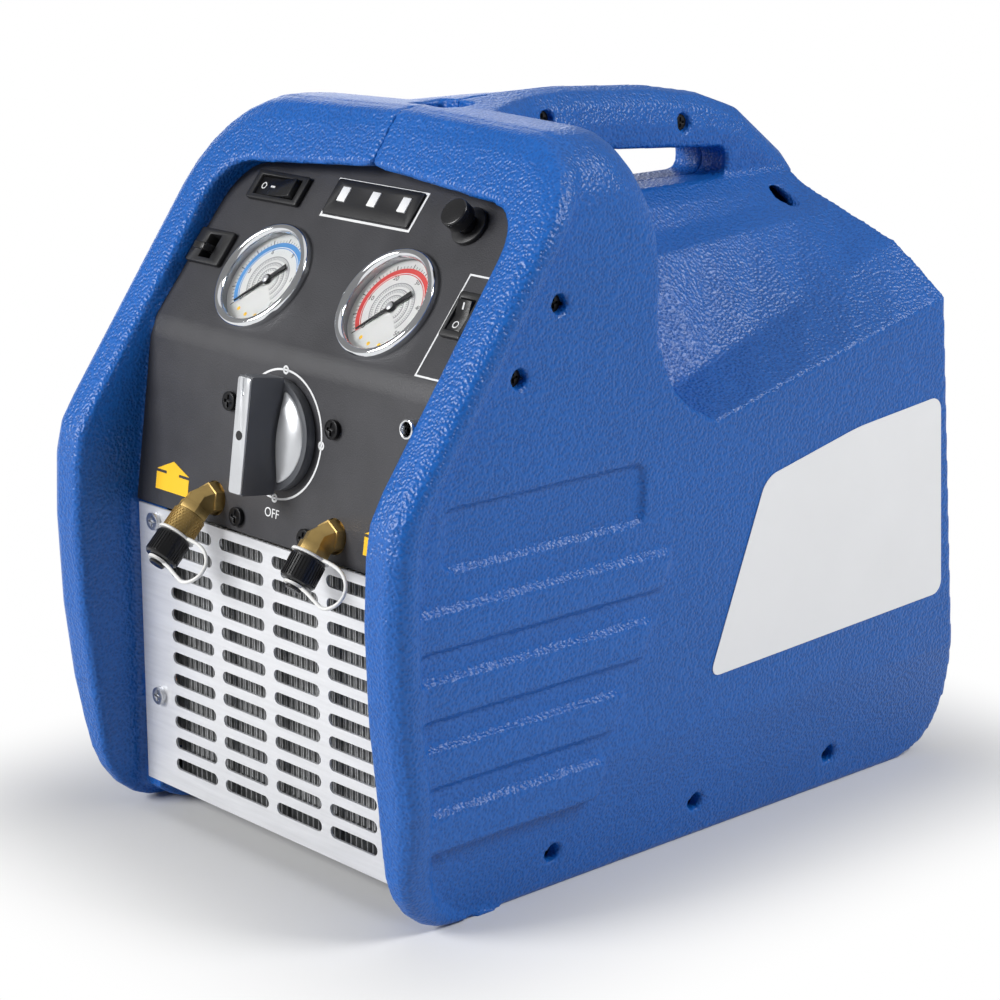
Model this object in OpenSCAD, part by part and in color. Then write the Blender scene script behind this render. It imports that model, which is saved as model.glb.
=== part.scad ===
// Portable refrigerant recovery machine: a moulded two-half housing round a compressor, a finned
// condenser and a fan, with a slanted control panel and a slotted steel grille at the front.
// Millimetres. +Z is up, -Y is the front, and the origin is on the ground under the middle.

/* [Housing] */
// Length from the front rim to the rear wall
length = 394; // [384:1:410]
// Width over the flat side faces
body_w = 244; // [240:1:252]
// Width over the two base runners
base_w = 224; // [218:1:230]
// Height of the hood at its crown
hood_h = 354; // [350:1:360]
// How far the rim bead stands out past the opening on each side
bead_w = 23.5; // [22:0.5:26]
// Depth of the rim bead from front to back
bead_d = 24; // [20:1:28]
// Wall of the housing
wall = 3.2; // [2.5:0.1:4.5]
// Height of the belly between the runners
belly_z = 15; // [12:1:18]
// Inner face of each runner, from the middle
runner_in = 94; // [90:1:97]

/* [Front opening] */
// Width of the front opening
opening_w = 215; // [212:1:220]
// How far the opening's lip is below the crown
lip_drop = 26.4; // [24:0.2:32]
// How far the grille sits behind the rim
grille_back = 34; // [30:1:40]
// How far the top of the grille, where the control panel starts, is below the crown
panel_drop = 195.5; // [192:0.5:200]
// Lean of the lower half of the control panel
lower_tilt = 8; // [4:1:12]
// Lean of the upper half of the control panel
upper_tilt = 39; // [36:1:42]
// Length of the lower half of the control panel
lower_len = 87; // [84:1:92]
// Length of the upper half of the control panel
upper_len = 103; // [100:1:104]
// Thickness of the control panel
panel_t = 2; // [1.5:0.1:3]

/* [Grille] */
// Columns of slots
slot_cols = 4; // [3:1:4]
// Rows of slots
slot_rows = 12; // [8:1:12]
// Distance between columns
slot_pitch_x = 40.3; // [38:0.1:42]
// Length of a slot
slot_l = 34; // [28:1:35]
// Height of a slot
slot_h = 6; // [4:0.5:7]
// Thickness of the grille sheet
grille_t = 1.2; // [0.8:0.1:2]

/* [Gauges and selector] */
// Radius of a gauge bezel
gauge_r = 28.5; // [26:0.5:30]
// Distance of each gauge from the middle
gauge_x = 45.4; // [42:0.2:48]
// Height of the gauges up the upper panel
gauge_s = 36; // [34:1:38]
// Radius of the selector's round base
knob_r = 26; // [24:0.5:28]
// Height of the selector above the panel
knob_h = 24; // [20:1:28]
// Height of the selector up the lower panel
knob_s = 51; // [48:1:53]

/* [Hose ports] */
// Distance of each hose port from the middle
port_x = 45; // [42:1:48]
// Height of the ports up the lower panel
port_s = 12; // [11:0.5:14]
// Radius of a port cap
cap_r = 8.5; // [8:0.25:10]
// Length of a port cap
cap_l = 13; // [12:0.5:20]
// Radius of the flared thread inside a cap
thread_r = 5.5; // [5:0.1:6]

/* [Handle] */
// Width of the handle
handle_w = 38; // [34:1:44]
// How far the floor under the handle is below the crown
floor_drop = 51; // [48:1:56]
// How far the handle's top is above the crown
handle_rise = 2; // [0:0.5:6]

/* [Machinery] */
// Depth of the condenser
coil_d = 28; // [22:1:32]
// Distance between condenser fins
fin_pitch = 4; // [3:0.5:6]
// Number of fan blades
fan_blades = 5; // [3:1:7]
// Radius of the drive motor
motor_r = 44; // [38:1:46]

/* [Hidden] */
$fn = 48;
eps = 0.01;
fit = 0.05;
play = 0.4;
lip_z = hood_h - lip_drop;
panel_z = hood_h - panel_drop;
floor_z = hood_h - floor_drop;
handle_z = hood_h + handle_rise;
stub_l = 8;
inlet_branch = 53;
outlet_branch = 60;
filter_z = 9;
filter_l = 11.5;
neck_l = 1.6;
button_r = 4;
button_l = 3.4;
strap_t = 1;
strap_w = 2;
strap_sag = 7.5;
inlet_cap_z = filter_z + filter_l + neck_l;
outlet_cap_z = filter_z + neck_l;
droop = inlet_branch - lower_tilt;
cap_reach = max((inlet_cap_z + cap_l) * cos(droop) + cap_r * sin(droop),
  (inlet_cap_z + cap_l + button_l) * cos(droop) + button_r * sin(droop),
  (inlet_cap_z + cap_l + strap_sag + strap_t / 2) * cos(droop) + strap_w / 2 * sin(droop));
overhang = max(0, cap_reach + stub_l * cos(lower_tilt) - port_s * sin(lower_tilt) - grille_back - grille_t - 1);
front_y = (overhang - length) / 2;
rear_y = front_y + length;
half_w = body_w / 2;
half_open = opening_w / 2;
hood_rear = front_y + 167;
flare_z = 60;
arc_steps = 6;
ledge_t = 4;
ledge_w = 3.5;
grille_y = front_y + grille_back;
panel_y = grille_y + grille_t + 1;
panel_gap = 0.5;
lower_top = [panel_y + lower_len * sin(lower_tilt), panel_z + panel_gap + lower_len * cos(lower_tilt)];
upper_top = lower_top + upper_len * [sin(upper_tilt), cos(upper_tilt)];
lower_in = [cos(lower_tilt), -sin(lower_tilt)];
upper_in = [cos(upper_tilt), -sin(upper_tilt)];
bend_back = lower_top + panel_t * (lower_in + upper_in) / (1 + lower_in * upper_in);
foot_back = [panel_y + panel_t / cos(lower_tilt), panel_z + panel_gap];
top_back = upper_top + [panel_t / cos(upper_tilt), 0];

blue = [0.10, 0.27, 0.62];
panel_grey = [0.22, 0.22, 0.24];
sheet_grey = [0.86, 0.86, 0.88];
brass = [0.66, 0.53, 0.25];
steel = [0.72, 0.73, 0.75];
copper = [0.72, 0.42, 0.26];
ink = [0.06, 0.06, 0.07];
pale = [0.93, 0.93, 0.94];
cast = [0.55, 0.56, 0.58];

// Outlines

// Points of an arc of radius r that rounds the corner b between a and c
function corner_arc(a, b, c, r, n = arc_steps) =
  let(u = (a - b) / norm(a - b), v = (c - b) / norm(c - b), angle = acos(u * v),
      centre = b + (u + v) / norm(u + v) * r / sin(angle / 2),
      from = b + u * r / tan(angle / 2) - centre,
      turn = sign(cross(from, b + v * r / tan(angle / 2) - centre)) * (180 - angle))
  [for (i = [0:n]) let(t = turn * i / n)
    centre + [from.x * cos(t) - from.y * sin(t), from.x * sin(t) + from.y * cos(t)]];

// A closed outline from corners given as [x, y, radius]
function rounded(c) = [for (i = [0:len(c) - 1])
  let(a = c[(i + len(c) - 1) % len(c)], b = c[i], d = c[(i + 1) % len(c)])
  each (b.z > 0 ? corner_arc([a.x, a.y], [b.x, b.y], [d.x, d.y], b.z) : [[b.x, b.y]])];

// The front of the rim seen from the side: foot curve, upright, bend and slope
slope_end = front_y + 113;
sky_z = hood_h + 146;
rim_corners = [[front_y + 60, 0, 0], [front_y + 15, 1.5, 38], [front_y, 130, 150], [front_y + 3, hood_h - 158, 40],
  [slope_end, hood_h - 6, 0], [slope_end, sky_z, 0], [rear_y, sky_z, 0], [rear_y, 0, 0]];
rim_curve = [for (p = rounded(rim_corners)) if (p.x <= slope_end && p.y < sky_z) [p.y, p.x]];
function rim_y(z) = lookup(z, rim_curve);

// The rim's outline seen from the front, r outside the opening, from the foot to the crown
lip_slope = 0.073;
crown_slope = 0.03;
bead_rise = 1.1;
opening_round = 20;
rim_shares = [0, 0.006, 0.018, 0.04, 0.07, 0.105, 0.15, 0.22, 0.35, 0.5, 0.6, 0.65, 0.69, 0.73, 0.78, 0.88];
function foot_share(z) = 0.3 + 0.7 * min(1, z / flare_z);
function rim_outline(r) =
  let(w = half_open + r, crown = lip_z + r * bead_rise,
      slope = lip_slope + (crown_slope - lip_slope) * r / bead_w,
      bend = corner_arc([w, 0], [w, crown - slope * w], [0, crown], opening_round + r))
  concat([for (t = rim_shares) let(z = bend[0].y * t) [half_open + r * foot_share(z), z]], bend, [[0, crown]]);

// Half of the hood seen from the front, from the belly to the crown, d inside the outer skin, its crown
// lowered by drop and its shoulder rounded by r
hood_round = 31;
function hood_half(d, drop = 0, r = hood_round) =
  let(w = half_w - d, crown = hood_h - drop - d, shoulder = [w, crown - crown_slope * w])
  concat([[0, belly_z], [runner_in, belly_z], [runner_in, 0], [base_w / 2 - d, 0], [w, flare_z]],
    corner_arc([w, flare_z], shoulder, [0, crown], r - d), [[0, crown]]);

// How the hood rounds off towards its back, as [distance from the back, drop of the crown, shoulder radius]
hood_stations = [[hood_rear - front_y, 0, hood_round], [32, 0, hood_round], [25, 0.3, 33], [20, 0.6, 36],
  [13.5, 1.6, 41], [6, 6, 45], [2, 11, 47], [0, 17, 48]];

// Half of the rear body at y: side, lower bevel, upper crease, scooped shelf and spine
crease_x = 90;
spine_w = 40;
function upper_crease(y) = hood_h - 126 + 0.33 * (y - 35);
function lower_crease(y) = hood_h - 142 + 0.225 * (y - 15);
function shelf_z(y) = hood_h - 77 + 0.08 * (y - 47);
function rear_half(y, d) =
  let(shelf = shelf_z(y) - d, spine = floor_z - d)
  [[0, belly_z], [runner_in, belly_z], [runner_in, 0], [base_w / 2 - d, 0], [half_w - d, flare_z],
   [half_w - d, lower_crease(y) - d], [crease_x - d / 2, upper_crease(y) - d], [spine_w + 14 - d, shelf],
   [spine_w - d, shelf + (spine - shelf) * 0.3], [spine_w - 10 - d, spine - 7], [spine_w / 2 - d, spine],
   [0, spine]];

// Helpers

// Extrudes a (y, z) outline across X
module across(x0, x1) translate([x0, 0, 0]) rotate([90, 0, 90]) linear_extrude(x1 - x0) children();

// Extrudes an (x, z) outline along Y
module along(y0, y1) translate([0, y1, 0]) rotate([90, 0, 0]) linear_extrude(y1 - y0) children();

// A solid through rings of points, each ring with the same count
module loft(rings) {
  n = len(rings[0]);
  m = len(rings);
  polyhedron(points = [for (ring = rings) each ring], faces = concat(
    [[for (i = [n - 1:-1:0]) i]], [[for (i = [0:n - 1]) (m - 1) * n + i]],
    [for (j = [0:m - 2]) for (i = [0:n - 1]) let(k = (i + 1) % n, a = j * n, b = a + n)
      each [[a + i, a + k, b + k], [a + i, b + k, b + i]]]));
}

// Frames on the two halves of the panel: X across, Y up the panel, Z out of it
module on_lower(x, s) translate([x, panel_y + s * sin(lower_tilt), panel_z + panel_gap + s * cos(lower_tilt)])
  rotate([90 - lower_tilt, 0, 0]) children();
module on_upper(x, s) translate([x, lower_top.x + s * sin(upper_tilt), lower_top.y + s * cos(upper_tilt)])
  rotate([90 - upper_tilt, 0, 0]) children();

// A box centred in X and Y, from z0 to z1
module slab(w, h, z0, z1) translate([-w / 2, -h / 2, z0]) cube([w, h, z1 - z0]);

// A round bar from z0 to z1
module bar(r, z0, z1) translate([0, 0, z0]) cylinder(r = r, h = z1 - z0);

// A plate outline with round corners
module plate(w, h, r) polygon(rounded([[-w / 2, -h / 2, r], [w / 2, -h / 2, r], [w / 2, h / 2, r], [-w / 2, h / 2, r]]));

// A pan-head screw along -Z with its head on z = 0 and a cross in it
head_h = 2.4;
module screw(head_r, shank_r, shank_l) {
  difference() {
    bar(head_r, 0, head_h);
    for (turn = [0, 90]) rotate(turn) slab(head_r * 1.3, head_r * 0.3, head_h - 1.2, head_h + 1);
  }
  bar(shank_r, -shank_l, eps);
}

// Housing

// Line of the panel and grille seen from the side, moved back by d
function seat_line(d) = [for (p = seat_points) p + [d + seat_gap, 0]];
seat_gap = 0.1;
seat_points = [[grille_y + grille_t, -20], [grille_y + grille_t, panel_z],
  [foot_back.x - panel_gap * tan(lower_tilt), panel_z], bend_back, top_back, [top_back.x, hood_h + 60]];

module hood_block() intersection() {
  loft([for (s = hood_stations) [for (p = hood_half(0, s.y, s.z)) [p.x, hood_rear - s.x, p.y]]]);
  across(-eps, half_w) polygon([for (p = rounded(rim_corners)) [min(p.x + bead_d / 2, rear_y), p.y]]);
}

rear_stations = [for (i = [0:8]) hood_rear - 30 + i / 8 * (rear_y + 35 - hood_rear)];
module rear_block() intersection() {
  loft([for (y = rear_stations) [for (p = rear_half(y, 0)) [p.x, y, p.y]]]);
  across(-eps, half_w + 1) polygon(rear_outline(0));
}

// The rear wall seen from the side, d inside: round foot and a forward lean above the knee
rear_knee = 45;
rear_lean = 0.1;
function rear_outline(d) = [[hood_rear - 40, -1], [rear_y - 30 - d, -1], [rear_y - 29 - d, 0], [rear_y - 12 - d, 7],
  [rear_y - 4.5 - d, 17], [rear_y - d, 33], [rear_y - d, rear_knee],
  [rear_y - d - rear_lean * (floor_z + 10 - rear_knee), floor_z + 10], [hood_rear - 40, floor_z + 10]];

// Curved step from the back of the hood down to the rear body
module hood_step() intersection() {
  across(0, half_w) polygon(concat([[hood_rear - 20, hood_h - 164]], [[hood_rear + 70, hood_h - 164]],
    corner_arc([hood_rear + 70, hood_h - 152], [hood_rear + 8, hood_h - 130], [hood_rear - 1, hood_h - 84], 45),
    [[hood_rear - 20, hood_h - 84]]));
  along(hood_rear - 30, hood_rear + 90) polygon(hood_half(0));
}

bead_section = [[0, bead_d], [0, 2.5], [2.5, 0], [bead_w * 0.7, 0], [bead_w * 0.94, 3], [bead_w, 8],
  [bead_w * 0.97, 14], [bead_w * 0.6, bead_d - 4], [bead_w * 0.3, bead_d]];
module rim_half() {
  outlines = [for (k = bead_section) rim_outline(k.x)];
  loft([for (i = [len(outlines[0]) - 1:-1:0]) [for (k = [0:len(bead_section) - 1])
    let(p = outlines[k][i]) [p.x, rim_y(p.y) + bead_section[k].y, p.y]]]);
}

// Four raised bands on each side, stepped back towards the front as they go down
band_top = panel_z - 4.5;
band_h = 17;
band_pitch = 31.2;
band_rise = 3;
band_ends = [178, 166, 147, 137];
module side_bands() for (i = [0:len(band_ends) - 1]) {
  z = band_top - i * band_pitch;
  across(half_w - 12, half_w + band_rise) polygon(rounded([[front_y + bead_d - 4, z - band_h, 0],
    [front_y + band_ends[i] - band_h / 2, z - band_h, 4], [front_y + band_ends[i], z, 4],
    [front_y + bead_d - 4, z, 0]]));
}

// Handle: a rounded bar that flows out of the crown and comes down on the spine, as [y, top, extra half width]
handle_top = [[hood_rear - 30, hood_h - 0.5, 26], [hood_rear, handle_z - 0.6, 12], [hood_rear + 20, handle_z - 0.2, 3],
  [hood_rear + 50, handle_z, 0], [hood_rear + 110, handle_z - 4, 0], [hood_rear + 146, handle_z - 10, 0],
  [hood_rear + 170, handle_z - 18, 0], [rear_y - 22, floor_z + 9, 0]];
module handle_half() loft([for (p = handle_top) let(w = handle_w / 2 + p.z, z = p.y, low = floor_z - 8)
  [for (q = [[0, low], [w, low], [w, max(z - 18, low + 6)], [w - 3, max(z - 8, low + 8)], [w - 9, z - 2], [0, z]])
    [q.x, p.x, q.y]]]);

hole_front = hood_rear + 38;
hole_rear = hood_rear + 154;
module hand_hole() across(-1, half_w) polygon(rounded([[hole_front, floor_z, 5], [hole_rear, floor_z, 6],
  [hole_rear + 1, floor_z + 15, 7], [hole_front, floor_z + 24, 8]]));

// The cavity's front: the back of the ledge, then slanted back under the crown
crown_front = slope_end + bead_d;
cavity_front = concat([for (i = [0:len(seat_points) - 2]) seat_points[i] + [ledge_t + seat_gap, 0]],
  [[crown_front, hood_h - wall], [crown_front, sky_z]]);
cavity_foot = [[-1, -1], [runner_in, -1], [runner_in, 28], [base_w / 2 + 2, 36]];
module cavity() {
  intersection() {
    loft([for (s = hood_stations) let(y = hood_rear - wall - s.x)
      [for (p = concat(cavity_foot, [for (q = hood_half(wall, s.y, s.z)) if (q.y >= flare_z) q],
        [[-1, hood_h - s.y - wall]])) [p.x, y, p.y]]]);
    across(-1, half_w) polygon(concat(cavity_front, [[hood_rear - wall, sky_z], [hood_rear - wall, -20]]));
  }
  intersection() {
    loft([for (y = rear_stations) [for (p = concat(cavity_foot,
      [for (q = rear_half(y, wall)) if (q.y >= flare_z && q.x > 0) q], [[-1, floor_z - wall]])) [p.x, y, p.y]]]);
    across(-2, half_w) polygon(rear_outline(wall));
  }
}

// The hollow in front of the panel, and the frame that the panel and the grille rest on
module front_recess() {
  intersection() {
    along(front_y - 10, hood_rear) polygon(concat([[-1, -1], [half_open, -1]],
      [for (p = rim_outline(0)) if (p.y > 1) p], [[-1, lip_z]]));
    across(-2, half_w) polygon(concat([[front_y - 20, hood_h + 60], [front_y - 20, -20]], seat_line(0)));
  }
  intersection() {
    along(front_y - 10, hood_rear) polygon([[-1, -1], [runner_in, -1], [runner_in, belly_z],
      [half_open - ledge_w, belly_z + 6], [half_open - ledge_w, lip_z - 34], [half_open - 18, lip_z - 13], [-1, lip_z - 9]]);
    across(-2, half_w) polygon(concat(seat_line(-1), [[hood_rear - wall, hood_h + 60], [hood_rear - wall, -20]]));
  }
}

// Blank recessed plate on the side
recess_d = 2.5;
recess_at = [front_y + 98, panel_z + 26];
module side_recess() across(half_w - recess_d, half_w + 1) translate(recess_at) plate(124, 29, 6);
module recess_back() across(half_w - recess_d - wall, half_w - wall + eps) translate(recess_at) plate(130, 35, 8);

// Square pocket in the crown, and the cup that closes it from inside
pocket_y = front_y + 144;
pocket_d = 9;
module crown_pocket() translate([0, pocket_y, hood_h - pocket_d])
  linear_extrude(30) polygon(rounded([[-1, -10, 0], [12, -10, 3], [12, 10, 3], [-1, 10, 0]]));
module pocket_cup() translate([0, pocket_y - 13, hood_h - pocket_d - wall]) cube([15, 26, pocket_d - 2]);

// Chamfer on the lip where the two halves meet
module lip_notch() along(front_y, slope_end + bead_d) polygon([[-1, lip_z - 3], [4, lip_z - 3], [-1, lip_z + 4.5]]);

// Screw places on the side of the hood, the runners and the handle, as [y, z]
hood_screw_at = [[front_y + 105, hood_h - 74], [front_y + 81, hood_h - 104]];
base_screw_z = belly_z + 3.6;
base_screw_at = [for (d = [109, 205, 304]) [front_y + d, base_screw_z]];
handle_screw_at = [[hood_rear + 27, handle_z - 13], [hood_rear + 123, handle_z - 23], [rear_y - 48, floor_z - 11]];
hood_seat = half_w - 7;
base_seat = half_w - 16;
handle_seat = handle_w / 2 - 6;
module handle_boss() translate([0, rear_y - 56, floor_z - 19]) cube([handle_w / 2, 16, 18]);
sink_r = 4.6;
shank_r = 2;
module side_hole(place, seat, reach) translate([seat, place.x, place.y]) rotate([0, 90, 0]) {
  bar(sink_r, 0, 60);
  bar(shank_r + 0.2, -reach, eps);
}
tab_x = 96.5;
tab_t = 2;
hood_reach = hood_seat - tab_x + 1;
base_reach = base_seat - runner_in + 4;
handle_bite = 9;

// Rear air outlet: rows of slots in each half, and the cut-out for the mains inlet
vent_rows = 8;
vent_pitch = 13;
vent_w = 62;
vent_x = 44;
vent_z = 102;
inlet_x = 84;
inlet_z = 76;
inlet_w = 27;
inlet_h = 20;
module rear_vents() for (i = [0:vent_rows - 1]) translate([vent_x, 0, vent_z + i * vent_pitch])
  along(rear_y - 25, rear_y + 10) plate(vent_w, 6, 2.9);

grille_screw_at = [[-88.5, panel_z - 7], [-88.5, panel_z - 97], [86, panel_z - 24], [86, panel_z - 114]];
grille_bite = grille_t + 3;
ear = 14;
module shell_half(right) color(blue) difference() {
  union() {
    difference() {
      union() {
        hood_block();
        rear_block();
        hood_step();
        rim_half();
        side_bands();
        handle_half();
      }
      cavity();
      front_recess();
    }
    for (p = hood_screw_at) translate([tab_x + tab_t, p.x, p.y]) rotate([0, 90, 0])
      bar(sink_r + 1.4, 0, half_w - tab_x - tab_t - 1);
    pocket_cup();
    recess_back();
    handle_boss();
    for (p = grille_screw_at) if ((p.x > 0) == right) translate([abs(p.x) - ear / 2, grille_y + grille_t, p.y - ear / 2])
      cube([half_w - wall / 2 - abs(p.x) + ear / 2, ledge_t, ear]);
  }
  hand_hole();
  side_recess();
  crown_pocket();
  lip_notch();
  rear_vents();
  for (p = hood_screw_at) side_hole(p, hood_seat, hood_reach + 1);
  for (p = base_screw_at) side_hole(p, base_seat, base_reach);
  for (p = grille_screw_at) if ((p.x > 0) == right) translate([abs(p.x), grille_y, p.y]) rotate([-90, 0, 0])
    bar(shank_r + 0.1, 0, grille_bite + 0.5);
  if (right) for (p = handle_screw_at) side_hole(p, handle_seat, handle_seat + 1);
  if (!right) for (p = handle_screw_at) translate([-1, p.x, p.y]) rotate([0, 90, 0]) bar(shank_r + 0.1, 0, handle_bite + 1.5);
  if (right) translate([inlet_x, 0, inlet_z]) along(rear_y - 25, rear_y + 10) plate(inlet_w, inlet_h, 0.6);
}

module right_shell() shell_half(true);
module left_shell() mirror([1, 0, 0]) shell_half(false);

// Sheet-steel tray that closes the bottom and carries the machinery
tray_t = 2;
tray_h = 14;
tray_front = grille_y + grille_t + ledge_t + 1;
tray_rear = rear_y - 42;
tray_w = runner_in - 0.3;
tray_top = belly_z + tray_t;
module base_tray() color(steel) difference() {
  union() {
    translate([-tray_w, tray_front, belly_z]) cube([2 * tray_w, tray_rear - tray_front, tray_t]);
    for (x = [-tray_w, tray_w - tray_t]) translate([x, tray_front, belly_z])
      cube([tray_t, tray_rear - tray_front, tray_h]);
  }
  for (p = base_screw_at) translate([0, p.x, p.y]) rotate([0, 90, 0]) bar(shank_r + 0.2, -half_w, half_w);
}

module base_screws() color(ink) for (side = [0, 1]) mirror([side, 0, 0]) for (p = base_screw_at)
  translate([base_seat, p.x, p.y]) rotate([0, 90, 0]) screw(sink_r - 0.5, shank_r, base_reach - 0.5);
module hood_screws() color(ink) for (side = [0, 1]) mirror([side, 0, 0]) for (p = hood_screw_at)
  translate([hood_seat, p.x, p.y]) rotate([0, 90, 0]) screw(sink_r - 0.5, shank_r, hood_reach);
module handle_screws() color(ink) for (p = handle_screw_at)
  translate([handle_seat, p.x, p.y]) rotate([0, 90, 0]) screw(sink_r - 0.5, shank_r, handle_seat + handle_bite);

// Control panel

panel_w = opening_w - 2;
switch_x = -69;
switch_s = 82.5;
switch_w = 39;
switch_h = 16;
breaker_x = -93;
breaker_s = 45;
breaker_w = 26;
breaker_h = 19;
start_x = 70;
start_s = 81;
start_r = 7.2;
stem_r = 4.5;
mode_x = 95;
mode_s = 38;
mode_w = 14;
mode_h = 23;
window_s = 84;
window_w = 62;
window_h = 19;
stub_x = 93;
stub_s = 70;
stub_r = 4.5;
case_r = gauge_r - 1.7;
screw_at = [[-38.3, 60], [38.3, 60], [-25.6, 7], [25.6, 7]];
port_hole = 8.4;
cut = 10;

// Two tabs behind each end of the panel, where the hood screws bite
tab_s = [[17, 28], [57, 69]];
tab_d = 27;
module panel_tabs() for (x = [-tab_x - tab_t, tab_x], t = tab_s) on_upper(x, t[0])
  translate([0, 0, -tab_d]) cube([tab_t, t[1] - t[0], tab_d - panel_t / 2]);

module panel_sheet() intersection() {
  across(-panel_w / 2, panel_w / 2) polygon([[panel_y, panel_z + panel_gap], lower_top, upper_top,
    top_back, bend_back, foot_back]);
  along(front_y, hood_rear) for (side = [0, 1]) mirror([side, 0]) polygon(concat([[-1, 0]],
    [for (p = rim_outline(-1)) [p.x, p.y - 0.4]], [[-1, lip_z - 1.5]]));
}

module control_panel() color(panel_grey) difference() {
  union() {
    panel_sheet();
    panel_tabs();
  }
  for (p = hood_screw_at) translate([0, p.x, p.y]) rotate([0, 90, 0]) bar(shank_r + 0.2, -half_w, half_w);
  on_lower(0, knob_s) bar(stem_r + 1, -cut, cut);
  for (p = screw_at) on_lower(p.x, p.y) bar(shank_r + 0.2, -cut, cut);
  for (x = [-port_x, port_x]) on_lower(x, port_s) bar(port_hole, -cut, cut);
  on_lower(stub_x, stub_s) bar(stub_r + fit, -cut, cut);
  for (x = [-gauge_x, gauge_x]) on_upper(x, gauge_s) bar(case_r + play, -cut, cut);
  on_upper(switch_x, switch_s) slab(switch_w - 4, switch_h - 3, -cut, cut);
  on_upper(breaker_x, breaker_s) slab(breaker_w - 6, breaker_h - 4, -cut, cut);
  on_upper(mode_x, mode_s) slab(mode_w - 2, mode_h - 3, -cut, cut);
  on_upper(start_x, start_s) bar(stem_r + 2, -cut, cut);
}

// A rocker switch body: bezel on the panel, box behind it and a well for the rocker
rocker_gap = 0.5;
well_d = 7;
module switch_body(w, h, cut_w, cut_h, well_w, well_h, depth) difference() {
  union() {
    translate([0, 0, 0]) linear_extrude(2.6) plate(w, h, 1.2);
    slab(cut_w - 0.6, cut_h - 0.6, -depth, eps);
  }
  slab(well_w, well_h, -well_d, 10);
}
// A rocker along X with its two pressed faces, lying over to one side by tilt
module rocker(l, w, tilt) translate([0, 0, -1]) rotate([0, -tilt, 0]) translate([0, w / 2, 0]) rotate([90, 0, 0])
  linear_extrude(w) polygon([[-l / 2, -1.5], [0, -4.5], [l / 2, -1.5], [l / 2, 4.2], [0, 2.6], [-l / 2, 4.2]]);

rocker_tilt = 8;
rocker_l = switch_w - 9;
rocker_w = switch_h - 6;
module power_switch_body() color(ink) on_upper(switch_x, switch_s)
  switch_body(switch_w, switch_h, switch_w - 4, switch_h - 3, rocker_l + 2 * rocker_gap, rocker_w + 2 * rocker_gap, 20);
module power_rocker() color(ink) on_upper(switch_x, switch_s) rocker(rocker_l, rocker_w, rocker_tilt);

mode_l = mode_h - 8;
mode_rw = mode_w - 5;
module mode_switch_body() color(ink) on_upper(mode_x, mode_s) rotate(90)
  switch_body(mode_h, mode_w, mode_h - 3, mode_w - 2, mode_l + 2 * rocker_gap, mode_rw + 2 * rocker_gap, 17);
module mode_rocker() color(ink) on_upper(mode_x, mode_s) rotate(90) rocker(mode_l, mode_rw, rocker_tilt);

// Circuit breaker with a short paddle that swings up and down
paddle_w = 8;
paddle_tilt = 14;
module breaker_body() color(ink) on_upper(breaker_x, breaker_s) difference() {
  union() {
    linear_extrude(2.6) plate(breaker_w, breaker_h, 1.5);
    slab(breaker_w - 6.6, breaker_h - 4.6, -22, eps);
  }
  slab(paddle_w + 2 * rocker_gap, breaker_h - 6, -well_d, 10);
}
module breaker_toggle() color(ink) on_upper(breaker_x, breaker_s) translate([0, 0, -3]) rotate([paddle_tilt, 0, 0]) {
  rotate([0, 90, 0]) bar(2.6, -paddle_w / 2, paddle_w / 2);
  translate([-paddle_w / 2, -1.7, 0]) cube([paddle_w, 3.4, 12]);
}

// Indicator plate with three lamp windows
lamp_pitch = 21.8;
lamp_w = 6;
lamp_h = 8;
module indicator_plate() color(ink) on_upper(0, window_s) difference() {
  linear_extrude(1.2) plate(window_w, window_h, 1.5);
  for (i = [-1:1]) translate([i * lamp_pitch, 1.5, 0]) slab(lamp_w, lamp_h, -1, 3);
}
module indicator_lenses() color(pale) on_upper(0, window_s) for (i = [-1:1]) translate([i * lamp_pitch, 1.5, 0])
  slab(lamp_w - 0.2, lamp_h - 0.2, 0, 1.6);

// Start button: a round cap on a stem that slides in its collar
start_travel = 4;
start_top = 14;
collar_h = 2.4;
module start_collar() color(ink) on_upper(start_x, start_s) difference() {
  union() {
    bar(start_r + 2.4, 0, collar_h);
    bar(stem_r + 1.8, -18, eps);
  }
  bar(stem_r + fit, -17, 20);
}
module start_button() color(ink) on_upper(start_x, start_s) {
  bar(start_r, collar_h + start_travel + play, start_top);
  bar(stem_r, -12, start_top - 1);
}

// Pressure gauges
lens_t = 1.6;
bezel_h = 3.2;
dial_z = -3;
module gauge_case(x) color(steel) on_upper(x, gauge_s) difference() {
  union() {
    bar(case_r, -24, 0.4);
    bar(6, -32, -24 + eps);
  }
  bar(case_r - 1.4, dial_z - 0.6, 5);
  bar(1 + fit, -8, 0);
}
module gauge_bezel(x) color(pale) on_upper(x, gauge_s) difference() {
  bar(gauge_r, 0, bezel_h);
  bar(case_r + 0.1, -1, 0.4 + lens_t + 0.1);
  bar(case_r - 2.2, -1, 5);
}
module gauge_dial(x) color("white") on_upper(x, gauge_s) difference() {
  bar(case_r - 1.5, dial_z - 0.6, dial_z);
  bar(1.3, -8, 0);
}
pointer_angle = 225;
module gauge_pointer(x) color(ink) on_upper(x, gauge_s) rotate(pointer_angle) {
  bar(2.6, dial_z + 0.6, dial_z + 1.8);
  bar(1, dial_z - 4, dial_z + 1);
  translate([0, 0, dial_z + 0.8]) linear_extrude(0.6) polygon([[-9, -1.3], [0, -1.1], [19, -0.3], [19, 0.3], [0, 1.1], [-9, 1.3]]);
}
module gauge_lens(x) color(pale, 0.4) on_upper(x, gauge_s) bar(case_r - 0.1, 0.4, 0.4 + lens_t);
module low_gauge_case() gauge_case(-gauge_x);
module low_gauge_bezel() gauge_bezel(-gauge_x);
module low_gauge_dial() gauge_dial(-gauge_x);
module low_gauge_pointer() gauge_pointer(-gauge_x);
module low_gauge_lens() gauge_lens(-gauge_x);
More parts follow.
